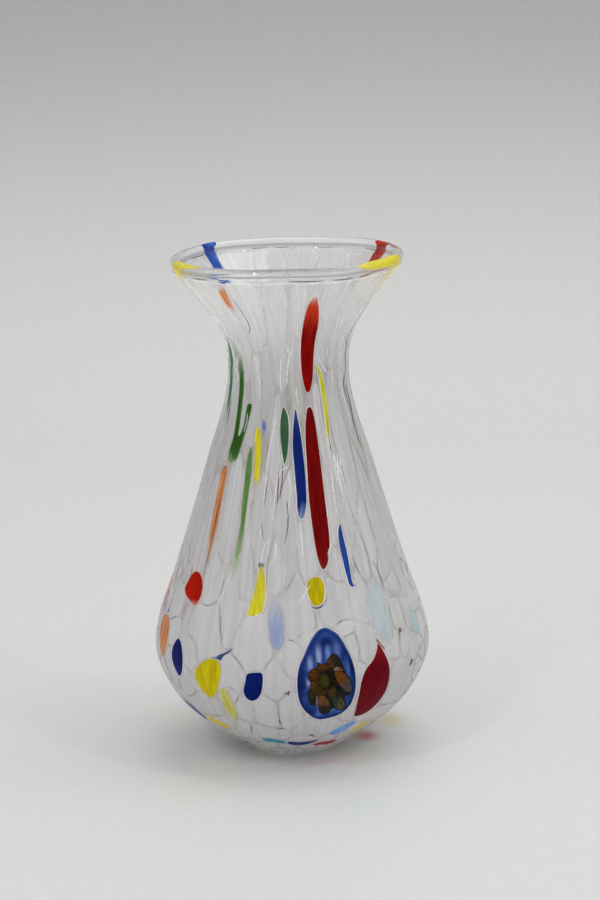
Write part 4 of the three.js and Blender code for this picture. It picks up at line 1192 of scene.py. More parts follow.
def lines():
    low, white_lines_and_highlights, grey, lip = [], [], [], []
    for th, s in SEAMS:
        z = float(z_of(s.mean()))
        t2, s2, length = resample(th, s, 0.7 if z < 62 else 1.6)
        n = len(t2)
        taper = np.sin(np.linspace(0, math.pi, n)) ** 0.45
        if z < 64 and length > 2.0 and RNG.uniform() < 0.72:
            w = RNG.uniform(0.12, 0.27) * taper * (0.75 + 0.25 * np.sin(np.linspace(0, RNG.uniform(3, 9), n)))
            low.append(strand_arrays(t2, s2, np.maximum(w, 0.03), 0.025, 0.04))
        elif z >= 64 and length > 6:
            # above the belly some seams become white threads, partly painted highlights where the clear glass between
            # chips catches the light
            u = RNG.uniform()
            if z > 100 and u < 0.10:
                w = RNG.uniform(0.12, 0.28) * taper
                white_lines_and_highlights.append(strand_arrays(t2, s2, np.maximum(w, 0.03), 0.04, 0.06))
            elif z <= 100 and u < 0.42:
                w = RNG.uniform(0.10, 0.24) * taper
                (white_lines_and_highlights if u < 0.26 else low).append(strand_arrays(t2, s2, np.maximum(w, 0.02), 0.03, 0.04))
    for path in WHITE_THREADS_AND_HIGHLIGHTS:
        t2, s2, length = thread_path(path)
        w = RNG.uniform(0.26, 0.46) * np.sin(np.linspace(0.25, math.pi - 0.05, len(t2))) ** 0.5
        white_lines_and_highlights.append(strand_arrays(t2, s2, np.maximum(w, 0.04), 0.07, 0.08))
    # white threads and painted highlight lines like those on the front, carried on round the sides and back
    for k in range(30):
        t0 = math.radians(RNG.uniform(48, 312))
        lo = RNG.uniform(100, 132)
        hi = min(155.4, lo + RNG.uniform(9, 32))
        z = np.linspace(hi, lo, 5)
        t2, s2, length = thread_path([(math.degrees(t0 + RNG.uniform(-0.02, 0.02)), q) for q in z])
        w = RNG.uniform(0.2, 0.42) * np.sin(np.linspace(0.2, math.pi - 0.05, len(t2))) ** 0.5
        white_lines_and_highlights.append(strand_arrays(t2, s2, np.maximum(w, 0.04), 0.07, 0.08))
    # the skin's upper end under the lip: a thin white line in short bows, a painted highlight along the lip's lower
    # border, and a grey line as painted shade where it turns under
    a = 0.0
    while a < 360:
        n = RNG.uniform(9, 24)
        q = np.radians(np.linspace(a - 0.8, a + n + 0.8, 22))
        bow = np.sin(np.linspace(0, math.pi, 22))
        white_lines_and_highlights.append(strand_arrays(q, S_WALL - 0.55 - RNG.uniform(0.15, 0.5) * bow, 0.12 + 0.22 * bow, 0.05, 0.09))
        # painted shade: a grey line where the lip turns under
        if RNG.uniform() < 0.6:
            grey.append(strand_arrays(q[3:-3], (S_WALL + 0.5 - 0.4 * bow)[3:-3], (0.05 + RNG.uniform(0.2, 0.6) * bow)[3:-3], 0.03, 0.05))
        a += n
    for path in DARK_THREADS:
        t2, s2, length = thread_path(path)
        w = RNG.uniform(0.24, 0.44) * np.sin(np.linspace(0.15, math.pi - 0.05, len(t2))) ** 0.5
        if abs(math.degrees(float(t2.mean()))) > 55:
            w = w * 2
        grey.append(strand_arrays(t2, s2, np.maximum(w, 0.03), 0.09, 0.05))
    for path in BROWN_THREADS:
        t2, s2, length = thread_path(path)
        w = RNG.uniform(0.26, 0.4) * np.sin(np.linspace(0.15, math.pi - 0.05, len(t2))) ** 0.5
        lip.append(strand_arrays(t2, s2, np.maximum(w, 0.03), 0.1, 0.05))
    # thin coloured lines drawn out along the lip
    for t0, t1, s0, w0 in ((-46, -12, -0.9, 0.12), (-20, 30, -0.5, 0.1), (6, 40, -1.1, 0.13), (44, 62, -0.8, 0.14), (-82, -66, -0.9, 0.13), (110, 150, -0.6, 0.12),
                           (-160, -130, -0.8, 0.12), (170, 200, -0.7, 0.1)):
        q = np.radians(np.linspace(t0, t1, 26))
        lip.append(strand_arrays(q, S_LIP + s0 + 0.18 * np.sin(q * 9), w0 * np.sin(np.linspace(0.15, math.pi - 0.05, 26)) ** 0.6, -0.02, 0.07))
    gather("lip_lines", lip, seam_glass("lip_line_glass", srgb(112, 48, 44), srgb(120, 96, 90), 0.45, 0.95), "red_glass")
    # white rims round some coloured inlays: partly white glass, partly painted highlight
    for name in HALOS:
        P, (tc, sc) = PLANS[name]
        P = P[::-1] if area_of(P) < 0 else P
        tan = np.roll(P, -1, 0) - np.roll(P, 1, 0)
        tan /= np.maximum(np.linalg.norm(tan, axis=1)[:, None], 1e-9)
        Q = P + np.stack([tan[:, 1], -tan[:, 0]], 1) * 0.07
        Q = np.vstack([Q, Q[:2]])
        w = 0.17 + 0.1 * np.sin(np.linspace(0, RNG.uniform(9, 20), len(Q)) + RNG.uniform(0, 6))
        white_lines_and_highlights.append(strand_arrays(tc + Q[:, 0] / r_of(sc), sc + Q[:, 1], w, 0.02, 0.09))
    gather("dark_threads", grey, seam_glass("dark_thread_glass", srgb(70, 74, 74), srgb(128, 128, 124), 0.4, 0.85), "white_glass")
    gather("seam_lines", low, seam_glass("seam_glass", srgb(84, 64, 60), srgb(140, 120, 112), 0.4, 1.0), "white_glass")
    # near-pure white strands: partly white glass, partly painted highlights
    gather("white_threads", white_lines_and_highlights, seam_glass("thread_glass", (0.96, 0.96, 0.96, 1), (1.0, 1.0, 1.0, 1), 0.8, 1.6), "white_glass")
    print("seams", len(low), "white_lines_and_highlights", len(white_lines_and_highlights))


lines()


# ---------------------------------------------------------------- the coloured inlays
def chip_object(name, outline, centre, mat, height=0.07, edge_at=-0.2, width=0.8, depth=0.75, rings=(0.1, 0.28, 0.65), spacing=1.1, colour_fn=None):
    th, s, off, D, F = chip_arrays(outline, centre, rings, spacing, pillow(edge_at, height, width), depth, edge_at)
    ob = new_object(name, place(th, s, off), F)
    point_attribute(ob, "flow", "FLOAT_VECTOR", np.stack([th * 25, s, off], 1))
    point_attribute(ob, "edge", "FLOAT", D * MM)
    lo, hi = s.min(), s.max()
    point_attribute(ob, "along", "FLOAT", (s - lo) / max(hi - lo, 1e-6))
    if colour_fn:
        x, y = wrap(th - centre[0]) * r_of(centre[1]), s - centre[1]
        point_attribute(ob, "paint", "FLOAT_COLOR", colour_fn(x, y, D))
    ob.data.materials.append(mat)
    return ob


SLOTS = {p["node"]: p["material_slot"] for p in frame["record"]["subparts"]}
LOOKS = {  # main colour and what happens at the ends
    "rim_blue_streak": dict(main=(40, 84, 170), opacity=0.95, lift=1.4),
    "rim_red_streak": dict(main=(158, 44, 36), opacity=0.93),
    "rim_yellow_left": dict(main=(196, 186, 60), opacity=0.66, bottom=(196, 192, 130), reach=(0.6, 0.1), fade_bottom=0.75, fade_side=0.8, streaky=0.1),
    "rim_yellow_right": dict(main=(200, 190, 50), opacity=0.7, bottom=(196, 192, 130), reach=(0.6, 0.1), fade_bottom=0.8, fade_side=0.7, streaky=0.1),
    "orange_streak_rim": dict(main=(204, 124, 72), opacity=0.8, fade_bottom=0.35, fade_top=0.4, streaky=1.0, fade_side=0.6),
    "red_streak_upper": dict(main=(118, 0, 0), top=(188, 62, 26), reach=(0.2, 0.5), fade_top=0.2, streaky=0.8, fade_side=0.35),
    "yellow_thread_neck": dict(main=(176, 172, 40), fade_bottom=0.3, fade_side=0.15),
    "green_edge_streak": dict(main=(62, 96, 80), fade_top=0.3, fade_bottom=0.25, opacity=0.95, fade_side=0.4),
    "green_forked_streak": dict(main=(40, 78, 24), bottom=(130, 148, 96), reach=(0.1, 0.3), fade_top=0.35, fade_bottom=0.08, streaky=0.8, fade_side=0.5),
    "orange_streak_left": dict(main=(184, 120, 66), bottom=(190, 150, 118), reach=(0.4, 0.1), fade_top=0.1, fade_bottom=0.45, opacity=0.82, fade_side=0.6, streaky=1.0),
    "green_streak_long": dict(main=(84, 120, 60), bottom=(140, 160, 120), reach=(0.5, 0.1), fade_top=0.04, fade_bottom=0.45, fade_side=0.55, opacity=0.9, streaky=1.0),
    "yellow_streak_left": dict(main=(186, 178, 44), fade_bottom=0.22, fade_side=0.3),
    "blue_dot_neck": dict(main=(78, 110, 168), fade_side=0.6, opacity=0.85),
    "sea_green_spindle": dict(main=(50, 84, 56), fade_side=0.4, streaky=0.6),
    "blue_streak_centre": dict(main=(10, 32, 96), bottom=(112, 126, 158), top=(40, 66, 122), reach=(0.16, 0.2), fade_bottom=0.07),
    "red_streak_lower": dict(main=(98, 0, 0), bottom=(112, 30, 24), reach=(0.12, 0.1), streaky=0.7),
    "blue_streak_right": dict(main=(30, 62, 132), fade_top=0.1),
    "red_orange_chip": dict(main=(152, 20, 0), bottom=(176, 96, 84), reach=(0.2, 0.1), fade_bottom=0.12),
    "yellow_triangle_chip": dict(main=(184, 178, 44), top=(150, 160, 80), reach=(0.1, 0.25)),
    "yellow_centre_chip": dict(main=(168, 154, 6)),
    "pale_blue_chip": dict(main=(134, 149, 180), top=(166, 172, 182), reach=(0.1, 0.6), fade_top=0.5, opacity=0.72, fade_side=1.3, streaky=0.25),
    "aqua_chip_right": dict(main=(166, 178, 182), opacity=0.6, fade_side=1.2, streaky=0.25),
    "aqua_chip_edge": dict(main=(158, 178, 182), opacity=0.6, fade_side=0.9, streaky=0.3),
    "orange_chip_edge": dict(main=(182, 122, 82), streaky=1.0, opacity=0.95),
    "blue_chip_left": dict(main=(8, 24, 86)),
    "yellow_chip_lower_left": dict(main=(176, 164, 8)),
    "pale_yellow_chip": dict(main=(178, 174, 96), fade_bottom=0.3, opacity=0.85, fade_side=0.5),
    "blue_square_chip": dict(main=(4, 22, 88)),
    "red_chip_right": dict(main=(92, 0, 14), top=(120, 24, 28), reach=(0.1, 0.3)),
    "base_blue_chip": dict(main=(50, 70, 136)),
    "base_yellow_chip": dict(main=(184, 176, 60)),
    "base_light_blue_chip": dict(main=(112, 142, 192), opacity=0.95),
    "base_yellow_chip_right": dict(main=(184, 168, 88), opacity=0.9),
    "base_teal_sliver": dict(main=(64, 130, 142), opacity=0.9),
    "base_navy_sliver": dict(main=(26, 42, 106)),
    "base_red_chip": dict(main=(146, 50, 52)),
    "red_streak_back": dict(main=(98, 0, 0), top=(150, 50, 30), reach=(0.1, 0.25), streaky=0.7),
    "blue_streak_back": dict(main=(12, 36, 104), fade_top=0.15),
    "yellow_streak_back": dict(main=(182, 174, 44), fade_top=0.2, fade_bottom=0.2),
    "green_streak_back": dict(main=(58, 98, 44), fade_top=0.25, fade_bottom=0.2, streaky=0.9, fade_side=0.5),
    "orange_streak_back": dict(main=(190, 124, 72), fade_top=0.25, fade_bottom=0.25, streaky=0.9, fade_side=0.5),
    "sea_green_streak_back": dict(main=(96, 128, 104), fade_top=0.3, fade_bottom=0.3, opacity=0.55, fade_side=0.6),
    "blue_chip_back": dict(main=(8, 24, 86)),
    "yellow_triangle_back": dict(main=(184, 176, 40)),
    "red_orange_chip_back": dict(main=(166, 34, 10), bottom=(190, 100, 84), reach=(0.28, 0.1)),
    "aqua_chip_back": dict(main=(160, 180, 186), opacity=0.75, fade_side=0.8),
    "green_chip_back": dict(main=(52, 92, 48)),
    "yellow_chip_side": dict(main=(182, 168, 16)),
    "red_chip_back": dict(main=(98, 4, 16)),
    "blue_chip_back_low": dict(main=(6, 26, 92)),
    "yellow_chip_back_low": dict(main=(176, 164, 10)),
    "orange_chip_side": dict(main=(186, 118, 70), streaky=1.0, fade_side=0.5),
    "blue_streak_side": dict(main=(34, 64, 136), fade_top=0.2, fade_side=0.5),
}
for name in INLAYS:
    if name.startswith("murrina"):
        continue
    outline, centre = PLANS[name]
    thin = area_of(outline) ** 2 < 1e9 and abs(area_of(outline)) / max(np.ptp(outline, axis=0)) < 1.6
    ob = chip_object(name, outline, centre, inlay_glass(name, **LOOKS[name]), height=0.02 if name.endswith("_side") else 0.07 if thin else 0.08,
                     edge_at=-0.03, width=0.4 if thin else 0.8, rings=(0.07, 0.22) if thin else (0.08, 0.26, 0.65),
                     spacing=0.9 if thin else 1.2)
    done(ob, SLOTS[name], name)
for name, (hx, _) in TRACES.items():
    outline, centre = TRACE_PLANS[name]
    rgb = (int(hx[0:2], 16), int(hx[2:4], 16), int(hx[4:6], 16))
    ob = chip_object(name, outline, centre, inlay_glass(name, main=rgb, fade_side=0.2, lift=1.1), height=0.06, edge_at=0.0, width=0.4, depth=0.3,
                     rings=(0.08,), spacing=0.6)
    done(ob, "white_glass")

# ---------------------------------------------------------------- the murrina: a slice of patterned rod, a flower in blue glass
MURRINA = {
    "plate": [(10.02, 39.63), (11.79, 39.06), (13.32, 39.12), (14.28, 40.27), (16.38, 41.77), (18.23, 41.41), (19.92, 39.61), (20.95, 37.51), (21.75, 35.61), (23.62, 33.54), (24.98, 31.14), (25.16, 28.75), (24.23, 27.67), (22.37, 27.22), (23.3, 24.67), (23.6, 22.39), (20.85, 22.14), (18.47, 23.25), (16.86, 22.85), (15.83, 21.49), (12.77, 21.46), (10.96, 23.34), (10.28, 25.08), (8.71, 24.89), (7.07, 25.8), (6.04, 28.02), (5.66, 29.92), (6.75, 31.44), (7.15, 33.16), (6.16, 34.16), (6.09, 36.24), (7.21, 37.5), (8.7, 37.75), (9.65, 38.54)],
    "petal_a": [(13.79, 39.15), (14.68, 40.45), (16.34, 41.33), (17.87, 41.06), (19.15, 39.91), (20.17, 38.48), (20.33, 37.68), (19.07, 37.8), (17.54, 38.08), (16.26, 37.57), (15.02, 37.45), (14.21, 38.06)],
    "petal_b": [(17.24, 35.9), (18.93, 36), (20.79, 35.36), (22.5, 33.9), (23.79, 32.3), (24.42, 30.69), (24.28, 28.86), (22.73, 29.06), (20.75, 30.09), (19.11, 31.8), (17.99, 33.27), (17.47, 34.39)],
    "petal_tan": [(16.59, 36.93), (17.19, 37.57), (18.45, 37.68), (19.92, 37.34), (20.39, 36.47), (19.82, 36.12), (18.33, 36.3), (17.17, 36.44)],
    "petal_c": [(16.66, 26.61), (18.01, 27.29), (20, 27.09), (21.73, 25.95), (22.75, 24.19), (22.57, 22.8), (20.68, 22.68), (18.78, 23.65), (17.23, 25.07)],
    "petal_d": [(14.02, 30.73), (14.95, 31.3), (16.18, 31.44), (17.37, 30.62), (17.88, 29.05), (17.28, 27.37), (16.17, 27.02), (15.06, 28.11), (14.35, 29.38)],
    "petal_e": [(10.5, 27.91), (11.53, 28.52), (13.12, 28.13), (14.73, 26.6), (15.73, 24.65), (15.63, 22.62), (14.06, 21.78), (12.22, 22.24), (11.08, 23.96), (10.65, 26.15)],
    "petal_f": [(6.15, 29.84), (7.16, 29.98), (8.56, 29.17), (9.2, 27.86), (9.17, 26.36), (8.56, 25.58), (7.27, 26.26), (6.51, 27.78)],
    "petal_g": [(7.09, 33.12), (7.74, 33.62), (9.01, 33.43), (9.59, 32.3), (9.67, 30.55), (9.15, 29.53), (7.82, 29.98), (7.11, 31.22)],
    "petal_h": [(6.54, 35.54), (6.88, 36.77), (7.94, 37.27), (9.18, 37.07), (9.65, 36.26), (9.6, 34.75), (9.01, 34.06), (7.69, 34.02), (6.69, 34.49)],
    "petal_i": [(10.11, 38.71), (10.47, 39.45), (11.81, 39.27), (13.3, 38.85), (14.23, 38.95), (14.58, 38.03), (14.25, 37.27), (12.26, 37.11), (10.33, 37.39)],
    "ring": [(10.74, 36.7), (12.57, 37.16), (14.68, 37.02), (16.79, 36.29), (17.65, 34.83), (17.62, 33.18), (17.39, 31.72), (15.93, 30.82), (13.83, 30.21), (11.65, 30.64), (10.24, 31.75), (9.91, 33.74), (10, 35.37)],
    "core": [(10.97, 34.86), (11.75, 35.61), (13.1, 35.52), (14.12, 34.65), (14.56, 33.2), (14.01, 31.75), (12.82, 31.46), (11.56, 32.18), (11.01, 33.44)],
    "pale_slit": [(9.4, 27.31), (9.7, 28.92), (10.17, 28.61), (10.39, 26.7), (10.49, 24.92), (9.77, 25.11)],
    "dark_gap": [(17.39, 31.72), (18.28, 32.39), (20.01, 30.81), (21.22, 29.24), (21.1, 28.18), (19.35, 28.9), (17.89, 30.11)],
}


def spot(th, z, t0, z0, a, b):
    """Soft ellipse round (degrees, mm), 1 in the middle."""
    return np.exp(-(((th - t0) / a) ** 2 + ((z - z0) / b) ** 2) ** 1.4)


def paint_ground(th, s, D):
    t, z = np.degrees(th), z_of(s)
    c = np.tile(np.array(srgb(38, 72, 146)[:3]), (len(t), 1))

    def mix(f, rgb):
        nonlocal c
        f = np.clip(f, 0, 1)[:, None]
        c = c * (1 - f) + np.array(srgb(*rgb)[:3]) * f

    rad = np.arctan2(z - 33.5, (t - 13.6) * 0.72)
    streaks = 0.5 + 0.5 * np.sin(rad * 13 + 1.3 * np.sin(rad * 5 + 0.7))
    mix(0.35 * streaks, (66, 102, 172))
    mix(0.35 * (1 - streaks), (22, 46, 122))
    mix((1 - smoothstep(0.5, 2.3, D)) * 0.85, (14, 34, 104))
    for t0, z0, a, b, f in ((14.3, 45.3, 2.9, 1.7, 0.95), (24.3, 38.2, 1.5, 3.6, 0.95), (3.7, 33.4, 1.4, 4.0, 0.8), (6.5, 39.8, 1.3, 3.2, 0.5),
                            (20.9, 41.4, 1.6, 2.6, 0.5), (8.6, 22.6, 2.6, 1.4, 0.6), (23.6, 26.0, 1.4, 3.0, 0.35)):
        mix(spot(t, z, t0, z0, a, b) * f, (8, 22, 88))
    for t0, z0, a, b, rgb, f in ((10.6, 41.3, 1.25, 2.9, (150, 168, 214), 0.98), (14.6, 41.9, 1.1, 2.2, (112, 144, 198), 0.9),
                                 (7.0, 39.0, 1.15, 2.3, (142, 160, 214), 0.9), (6.2, 33.3, 0.75, 1.3, (160, 166, 206), 0.9),
                                 (18.6, 42.6, 1.4, 2.6, (104, 118, 180), 0.7), (22.9, 36.4, 0.6, 2.2, (92, 122, 186), 0.7),
                                 (11.5, 21.5, 2.2, 0.9, (74, 116, 188), 0.8), (17.0, 24.0, 1.6, 1.6, (120, 146, 178), 0.75),
                                 (20.6, 22.0, 2.2, 0.7, (62, 112, 170), 0.7), (23.4, 30.5, 0.7, 1.8, (66, 100, 160), 0.5),
                                 (10.8, 24.0, 0.6, 2.2, (118, 128, 170), 0.6)):
        mix(spot(t, z, t0, z0, a, b) * f, rgb)
    mix(spot(t, z, 12.75, 42.1, 0.32, 3.0) * 0.85, (10, 26, 92))
    mix(spot(t, z, 9.2, 40.2, 0.35, 2.6) * 0.85, (8, 52, 96))
    mix((1 - smoothstep(0.1, 0.75, D)) * smoothstep(36, 46, z) * 0.8, (104, 134, 188))
    mix((1 - smoothstep(0.0, 0.35, D)) * (1 - smoothstep(36, 46, z)) * 0.4, (70, 90, 160))
    c = np.minimum(c * LIFT * 0.58, 0.95)
    return np.concatenate([c, np.ones((len(c), 1))], 1)


def two_tone(a, b, angle, middle=0.0, width=1.2, rim=0.35):
    """Paint that runs from colour a to colour b across a petal, darker at its rim."""
    def fn(x, y, D):
        d = x * math.cos(math.radians(angle)) + y * math.sin(math.radians(angle)) - middle
        f = smoothstep(-width, width, d)[:, None]
        c = np.array(srgb(*a)[:3]) * (1 - f) + np.array(srgb(*b)[:3]) * f
        k = smoothstep(0.0, rim, D)[:, None] * 0.75 + 0.25
        c = np.minimum(c * k * LIFT * 0.5, 0.95)
        return np.concatenate([c, np.ones((len(c), 1))], 1)
    return fn


def painted_glass(name, wobble=0.3):
    m, N, L = material(name)
    paint = attr(N, "paint")
    streak = flow_noise(N, L, 2.2, 0.5, detail=3.0, rough=0.6, offset=11.0)
    v = node(N, "ShaderNodeVectorMath", operation="SCALE")
    L.new(paint.outputs["Color"], v.inputs[0])
    L.new(remap(N, L, streak, 0.3, 0.7, 1 - wobble, 1 + wobble), v.inputs["Scale"])
    return finish_chip(m, N, L, v.outputs[0], None, roughness=0.08, through=0.12, specular=0.06)


def murrina():
    plan, centre = PLANS["murrina_ground"]
    ground_glass, petal_glass = painted_glass("glass_murrina_ground", 0.14), painted_glass("glass_murrina_petal", 0.3)

    def ground_colour(x, y, D):
        return paint_ground(centre[0] + x / r_of(centre[1]), centre[1] + y, D)

    ob = chip_object("murrina_ground", plan, centre, ground_glass, height=0.08, edge_at=-0.03, width=0.8, rings=(0.1, 0.3, 0.6),
                     spacing=0.36, colour_fn=ground_colour)
    done(ob, SLOTS["murrina_ground"], "murrina_ground")

    # the flower: one slice, its petals drawn in glass of other colours
    P, c = flat_outline(MURRINA["plate"])
    petals = (("petal_a", (88, 56, 20), (44, 44, 42), 10, -0.3, 0.7), ("petal_b", (122, 74, 26), (84, 78, 74), -50, 0.4, 1.2),
              ("petal_tan", (150, 122, 94), (124, 92, 62), 0, 0.0, 0.7), ("petal_c", (92, 88, 60), (60, 64, 54), 180, 0.2, 0.8),
              ("petal_d", (88, 60, 24), (66, 62, 30), -90, 0.0, 1.2), ("petal_e", (124, 82, 42), (50, 46, 40), -90, 0.3, 1.1),
              ("petal_f", (58, 54, 36), (40, 42, 34), -90, 0.0, 1.2), ("petal_g", (98, 64, 16), (80, 58, 20), -90, 0.0, 1.2),
              ("petal_h", (100, 66, 16), (88, 56, 12), -90, 0.0, 1.4), ("petal_i", (96, 62, 14), (84, 54, 12), 0, 0.0, 1.4),
              ("pale_slit", (190, 176, 172), (140, 132, 140), 0, 0.0, 0.6), ("dark_gap", (14, 16, 26), (30, 32, 50), -50, 0.0, 1.2))

    def flat(key, grow=1.0):
        Q = np.array(MURRINA[key], float)
        Q = np.stack([wrap(np.radians(Q[:, 0]) - c[0]) * r_of(c[1]), s_of(Q[:, 1]) - c[1]], 1)
        Q = Q.mean(0) + (Q - Q.mean(0)) * grow
        return closed_spline(Q, 0.3), Q.mean(0)

    shapes = [(flat(k, 1.1 if k.startswith("petal") else 1.0), two_tone(p, q, ang, mid, wid, rim=0.01)) for k, p, q, ang, mid, wid in petals]
    ring, ring_mid = flat("ring", 0.92)
    core, core_mid = flat("core", 1.05)

    def flower(x, y, D):
        Q = np.stack([x, y], 1)
        t = np.arctan2(y - ring_mid[1], x - ring_mid[0])
        left = smoothstep(-0.2, 0.6, -np.cos(t))[:, None]
        col = (np.array(srgb(84, 54, 14)[:3]) * left + np.array(srgb(40, 38, 34)[:3]) * (1 - left)) * LIFT * 0.5
        for (outline, mid), tone in shapes:
            d = edge_distance(Q, outline)
            k = smoothstep(-0.05, 0.3, d)[:, None]
            inner = tone(x - mid[0], y - mid[1], np.ones(len(x)))[:, :3]
            col = col * (1 - k) + inner * k
            line = np.exp(-((d / 0.16) ** 2))[:, None] * 0.62
            col = col * (1 - line) + np.array([0.006, 0.005, 0.003]) * line
        spokes = (0.5 + 0.5 * np.cos(t * 19 + 1.2 * np.sin(t * 5))) ** 6
        far = np.hypot(x - ring_mid[0], y - ring_mid[1])
        col = col * (1 - 0.45 * (spokes * smoothstep(1.8, 3.2, far))[:, None])
        k = smoothstep(-0.5, 0.7, edge_distance(Q, ring) + 0.25 * np.sin(t * 9))[:, None]
        col = col * (1 - k) + np.array(srgb(15, 14, 6)[:3]) * 1.4 * k
        k = smoothstep(-0.6, 0.8, edge_distance(Q, core))[:, None]
        col = col * (1 - k) + np.array(srgb(54, 48, 14)[:3]) * 1.5 * k
        edge = smoothstep(0.0, 0.32, D)[:, None]
        col = col * (0.12 + 0.88 * edge)
        return np.concatenate([np.clip(col, 0, 0.95), np.ones((len(col), 1))], 1)

    plate = chip_object("murrina_flower", closed_spline(P, 0.26), c, petal_glass, height=0.13, edge_at=0.05, width=0.5, depth=0.3,
                        rings=(0.08, 0.2), spacing=0.26, colour_fn=flower)
    done(plate, SLOTS["murrina_petals"], "murrina_petals", "murrina_core")


murrina()


# ---------------------------------------------------------------- floor and backdrop
def sweep():
    prof = [(-9.0, 0.0), (-1.6, 0.0), (0.42, 0.0)]
    R, y0 = 0.75, 0.42
    for a in np.linspace(0, math.pi / 2, 40)[1:]:
        prof.append((y0 + R * math.sin(a), R - R * math.cos(a)))
    prof.append((y0 + R, 3.4))
    V, F = [], []
    for y, z in prof:
        V += [(-9.0, y, z), (9.0, y, z)]
    for i in range(len(prof) - 1):
        F.append([i * 2, i * 2 + 1, i * 2 + 3, i * 2 + 2])
    ob = new_object("sweep", V, F)
    m, N, L = material("paper")
    pos = node(N, "ShaderNodeTexCoord")
    n = node(N, "ShaderNodeTexNoise", Scale=260.0, Detail=3.0)
    L.new(pos.outputs["Object"], n.inputs["Vector"])
    p = node(N, "ShaderNodeBsdfPrincipled", Roughness=0.55)
    p.inputs["Specular IOR Level"].default_value = 0.25
    r = ramp(N, [(0.3, (*PAPER_A, 1)), (0.7, (*PAPER_B, 1))])
    L.new(n.outputs["Fac"], r.inputs[0])
    zs = node(N, "ShaderNodeSeparateXYZ")
    L.new(pos.outputs["Object"], zs.inputs[0])
    # painted shade: the paper's colour falls to 0.55 from 22 cm up, in place of light falling off up the backdrop
    painted_top_shade = node(N, "ShaderNodeVectorMath", operation="SCALE")
    L.new(r.outputs[0], painted_top_shade.inputs[0])
    L.new(remap(N, L, zs.outputs["Z"], -0.03, 0.22, 1.0, 0.55), painted_top_shade.inputs["Scale"])
    tone = painted_top_shade.outputs[0]
    # painted light: soft tinted patches on the paper stand in for light that has come through the coloured chips, and
    # one grey patch is a painted contact shadow under the base
    for x, y, rx, ry, colour, f in PAINTED_LIGHT_AND_SHADOW_PATCHES:
        mp = node(N, "ShaderNodeMapping")
        mp.inputs["Location"].default_value = (-x / rx, -y / ry, 0)
        mp.inputs["Scale"].default_value = (1000 / rx, 1000 / ry, 1000 / rx)
        L.new(pos.outputs["Object"], mp.inputs["Vector"])
        ln = node(N, "ShaderNodeVectorMath", operation="LENGTH")
        L.new(mp.outputs["Vector"], ln.inputs[0])
        tone = blend_colour(N, L, remap(N, L, ln.outputs["Value"], 0.1, 1.0, f, 0.0), tone, (*colour, 1))
    L.new(tone, p.inputs["Base Color"])
    b = node(N, "ShaderNodeBump", Strength=0.03, Distance=0.0002)
    L.new(n.outputs["Fac"], b.inputs["Height"])
    L.new(b.outputs["Normal"], p.inputs["Normal"])
    out = node(N, "ShaderNodeOutputMaterial")
    L.new(p.outputs[0], out.inputs["Surface"])
    ob.data.materials.append(m)
    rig.stage(ob)
    return ob


PAINTED_LIGHT_AND_SHADOW_PATCHES = [  # x, y, half sizes in mm, colour, strength of each painted light or shadow patch
    (23.5, 1.8, 6.2, 7.5, (0.52, 0.13, 0.12), 0.85), (32.0, 18.0, 7.0, 10.0, (0.60, 0.50, 0.22), 0.6), (21.5, -13.0, 8.0, 10.0, (0.65, 0.61, 0.48), 0.5),
    (20.5, -62.0, 11.0, 13.0, (0.58, 0.67, 0.68), 0.5),
    (-13.0, -18.0, 7.0, 8.0, (0.66, 0.60, 0.60), 0.4),
    # painted contact shadow: a grey patch on the paper under the base
    (-2.0, -4.0, 34.0, 24.0, (0.31, 0.305, 0.30), 0.8),
]
PAPER_A, PAPER_B = (0.670, 0.673, 0.665), (0.690, 0.693, 0.685)
sweep()


# ---------------------------------------------------------------- light
def softbox(name, at, look, w, h, power, colour=(1, 1, 1)):
    d = bpy.data.lights.new(name, "AREA")
    d.shape, d.size, d.size_y, d.energy, d.color = "RECTANGLE", w, h, power, colour
    o = bpy.data.objects.new(name, d)
    o.location = at
    o.rotation_euler = (Vector(look) - Vector(at)).to_track_quat("-Z", "Y").to_euler()
    scene.collection.objects.link(o)
    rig.stage(o)
    return o


softbox("light_top", (0.18, 0.26, 1.0), (0, 0.04, 0.06), 1.0, 0.7, TOP_POWER, (1.0, 0.998, 0.99))

softbox("light_glint_left", (-0.48, -0.62, 0.86), (0, 0, 0.08), 0.07, 0.07, 1.1)
softbox("light_glint_right", (0.62, -0.34, 0.92), (0, 0, 0.08), 0.07, 0.07, 0.9)

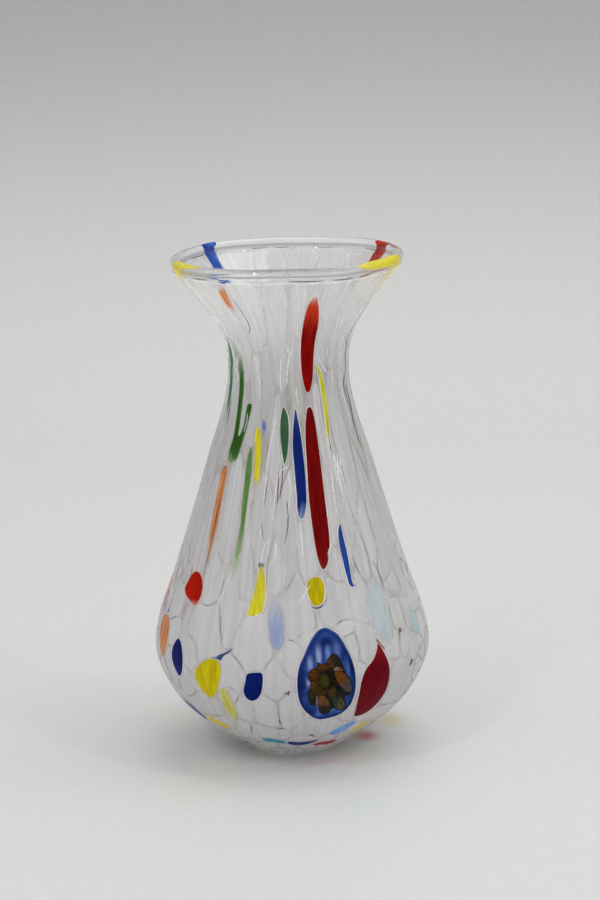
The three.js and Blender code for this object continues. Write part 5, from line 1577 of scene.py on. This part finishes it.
world = bpy.data.worlds.new("studio")
world.use_nodes = True
WN, WL = world.node_tree.nodes, world.node_tree.links
WN.clear()
tc = node(WN, "ShaderNodeTexCoord")
sep = node(WN, "ShaderNodeSeparateXYZ")
WL.new(tc.outputs["Generated"], sep.inputs[0])
side = remap(WN, WL, sep.outputs["Y"], -0.85, 0.1, 0.0, 1.0)
wr = ramp(WN, [(0.0, (*[WORLD_FRONT] * 3, 1)), (1.0, (*[WORLD_SIDE] * 3, 1))])
WL.new(side, wr.inputs[0])
bg = node(WN, "ShaderNodeBackground", Strength=1.0)
WL.new(wr.outputs[0], bg.inputs["Color"])
wo = node(WN, "ShaderNodeOutputWorld")
WL.new(bg.outputs[0], wo.inputs["Surface"])
scene.world = world


# ---------------------------------------------------------------- camera
C = Vector((0, -0.8, 0.280529))
T = Vector((0.0033447, 0, 0.0964871))
f = (T - C).normalized()
right = f.cross(Vector((0, 0, 1))).normalized()
up = right.cross(f)
roll = math.radians(-0.798)
r2 = right * math.cos(roll) + up * math.sin(roll)
u2 = up * math.cos(roll) - right * math.sin(roll)
cam = bpy.data.cameras.new("camera")
cam.sensor_width, cam.lens = 36.0, 36.0 * 2585.93 / 900
cam.clip_start, cam.clip_end = 0.05, 20
co = bpy.data.objects.new("camera", cam)
co.matrix_world = Matrix(((r2.x, u2.x, -f.x, C.x), (r2.y, u2.y, -f.y, C.y), (r2.z, u2.z, -f.z, C.z), (0, 0, 0, 1)))
scene.collection.objects.link(co)
scene.camera = co

scene.view_settings.view_transform = "Standard"
scene.view_settings.look = "None"
scene.view_settings.exposure = 0.0
scene.view_settings.gamma = 1.0
cy = scene.cycles
cy.use_denoising = True
cy.max_bounces, cy.transmission_bounces, cy.glossy_bounces, cy.diffuse_bounces = 32, 28, 8, 5
cy.transparent_max_bounces = 48
cy.caustics_refractive = True
cy.caustics_reflective = False
cy.sample_clamp_indirect = 6.0

low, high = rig.bounds()
with open("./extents.json", "w") as fh:
    json.dump({"cad_low": cad_low, "cad_high": cad_high, "low": [float(v) for v in low], "high": [float(v) for v in high]}, fh)
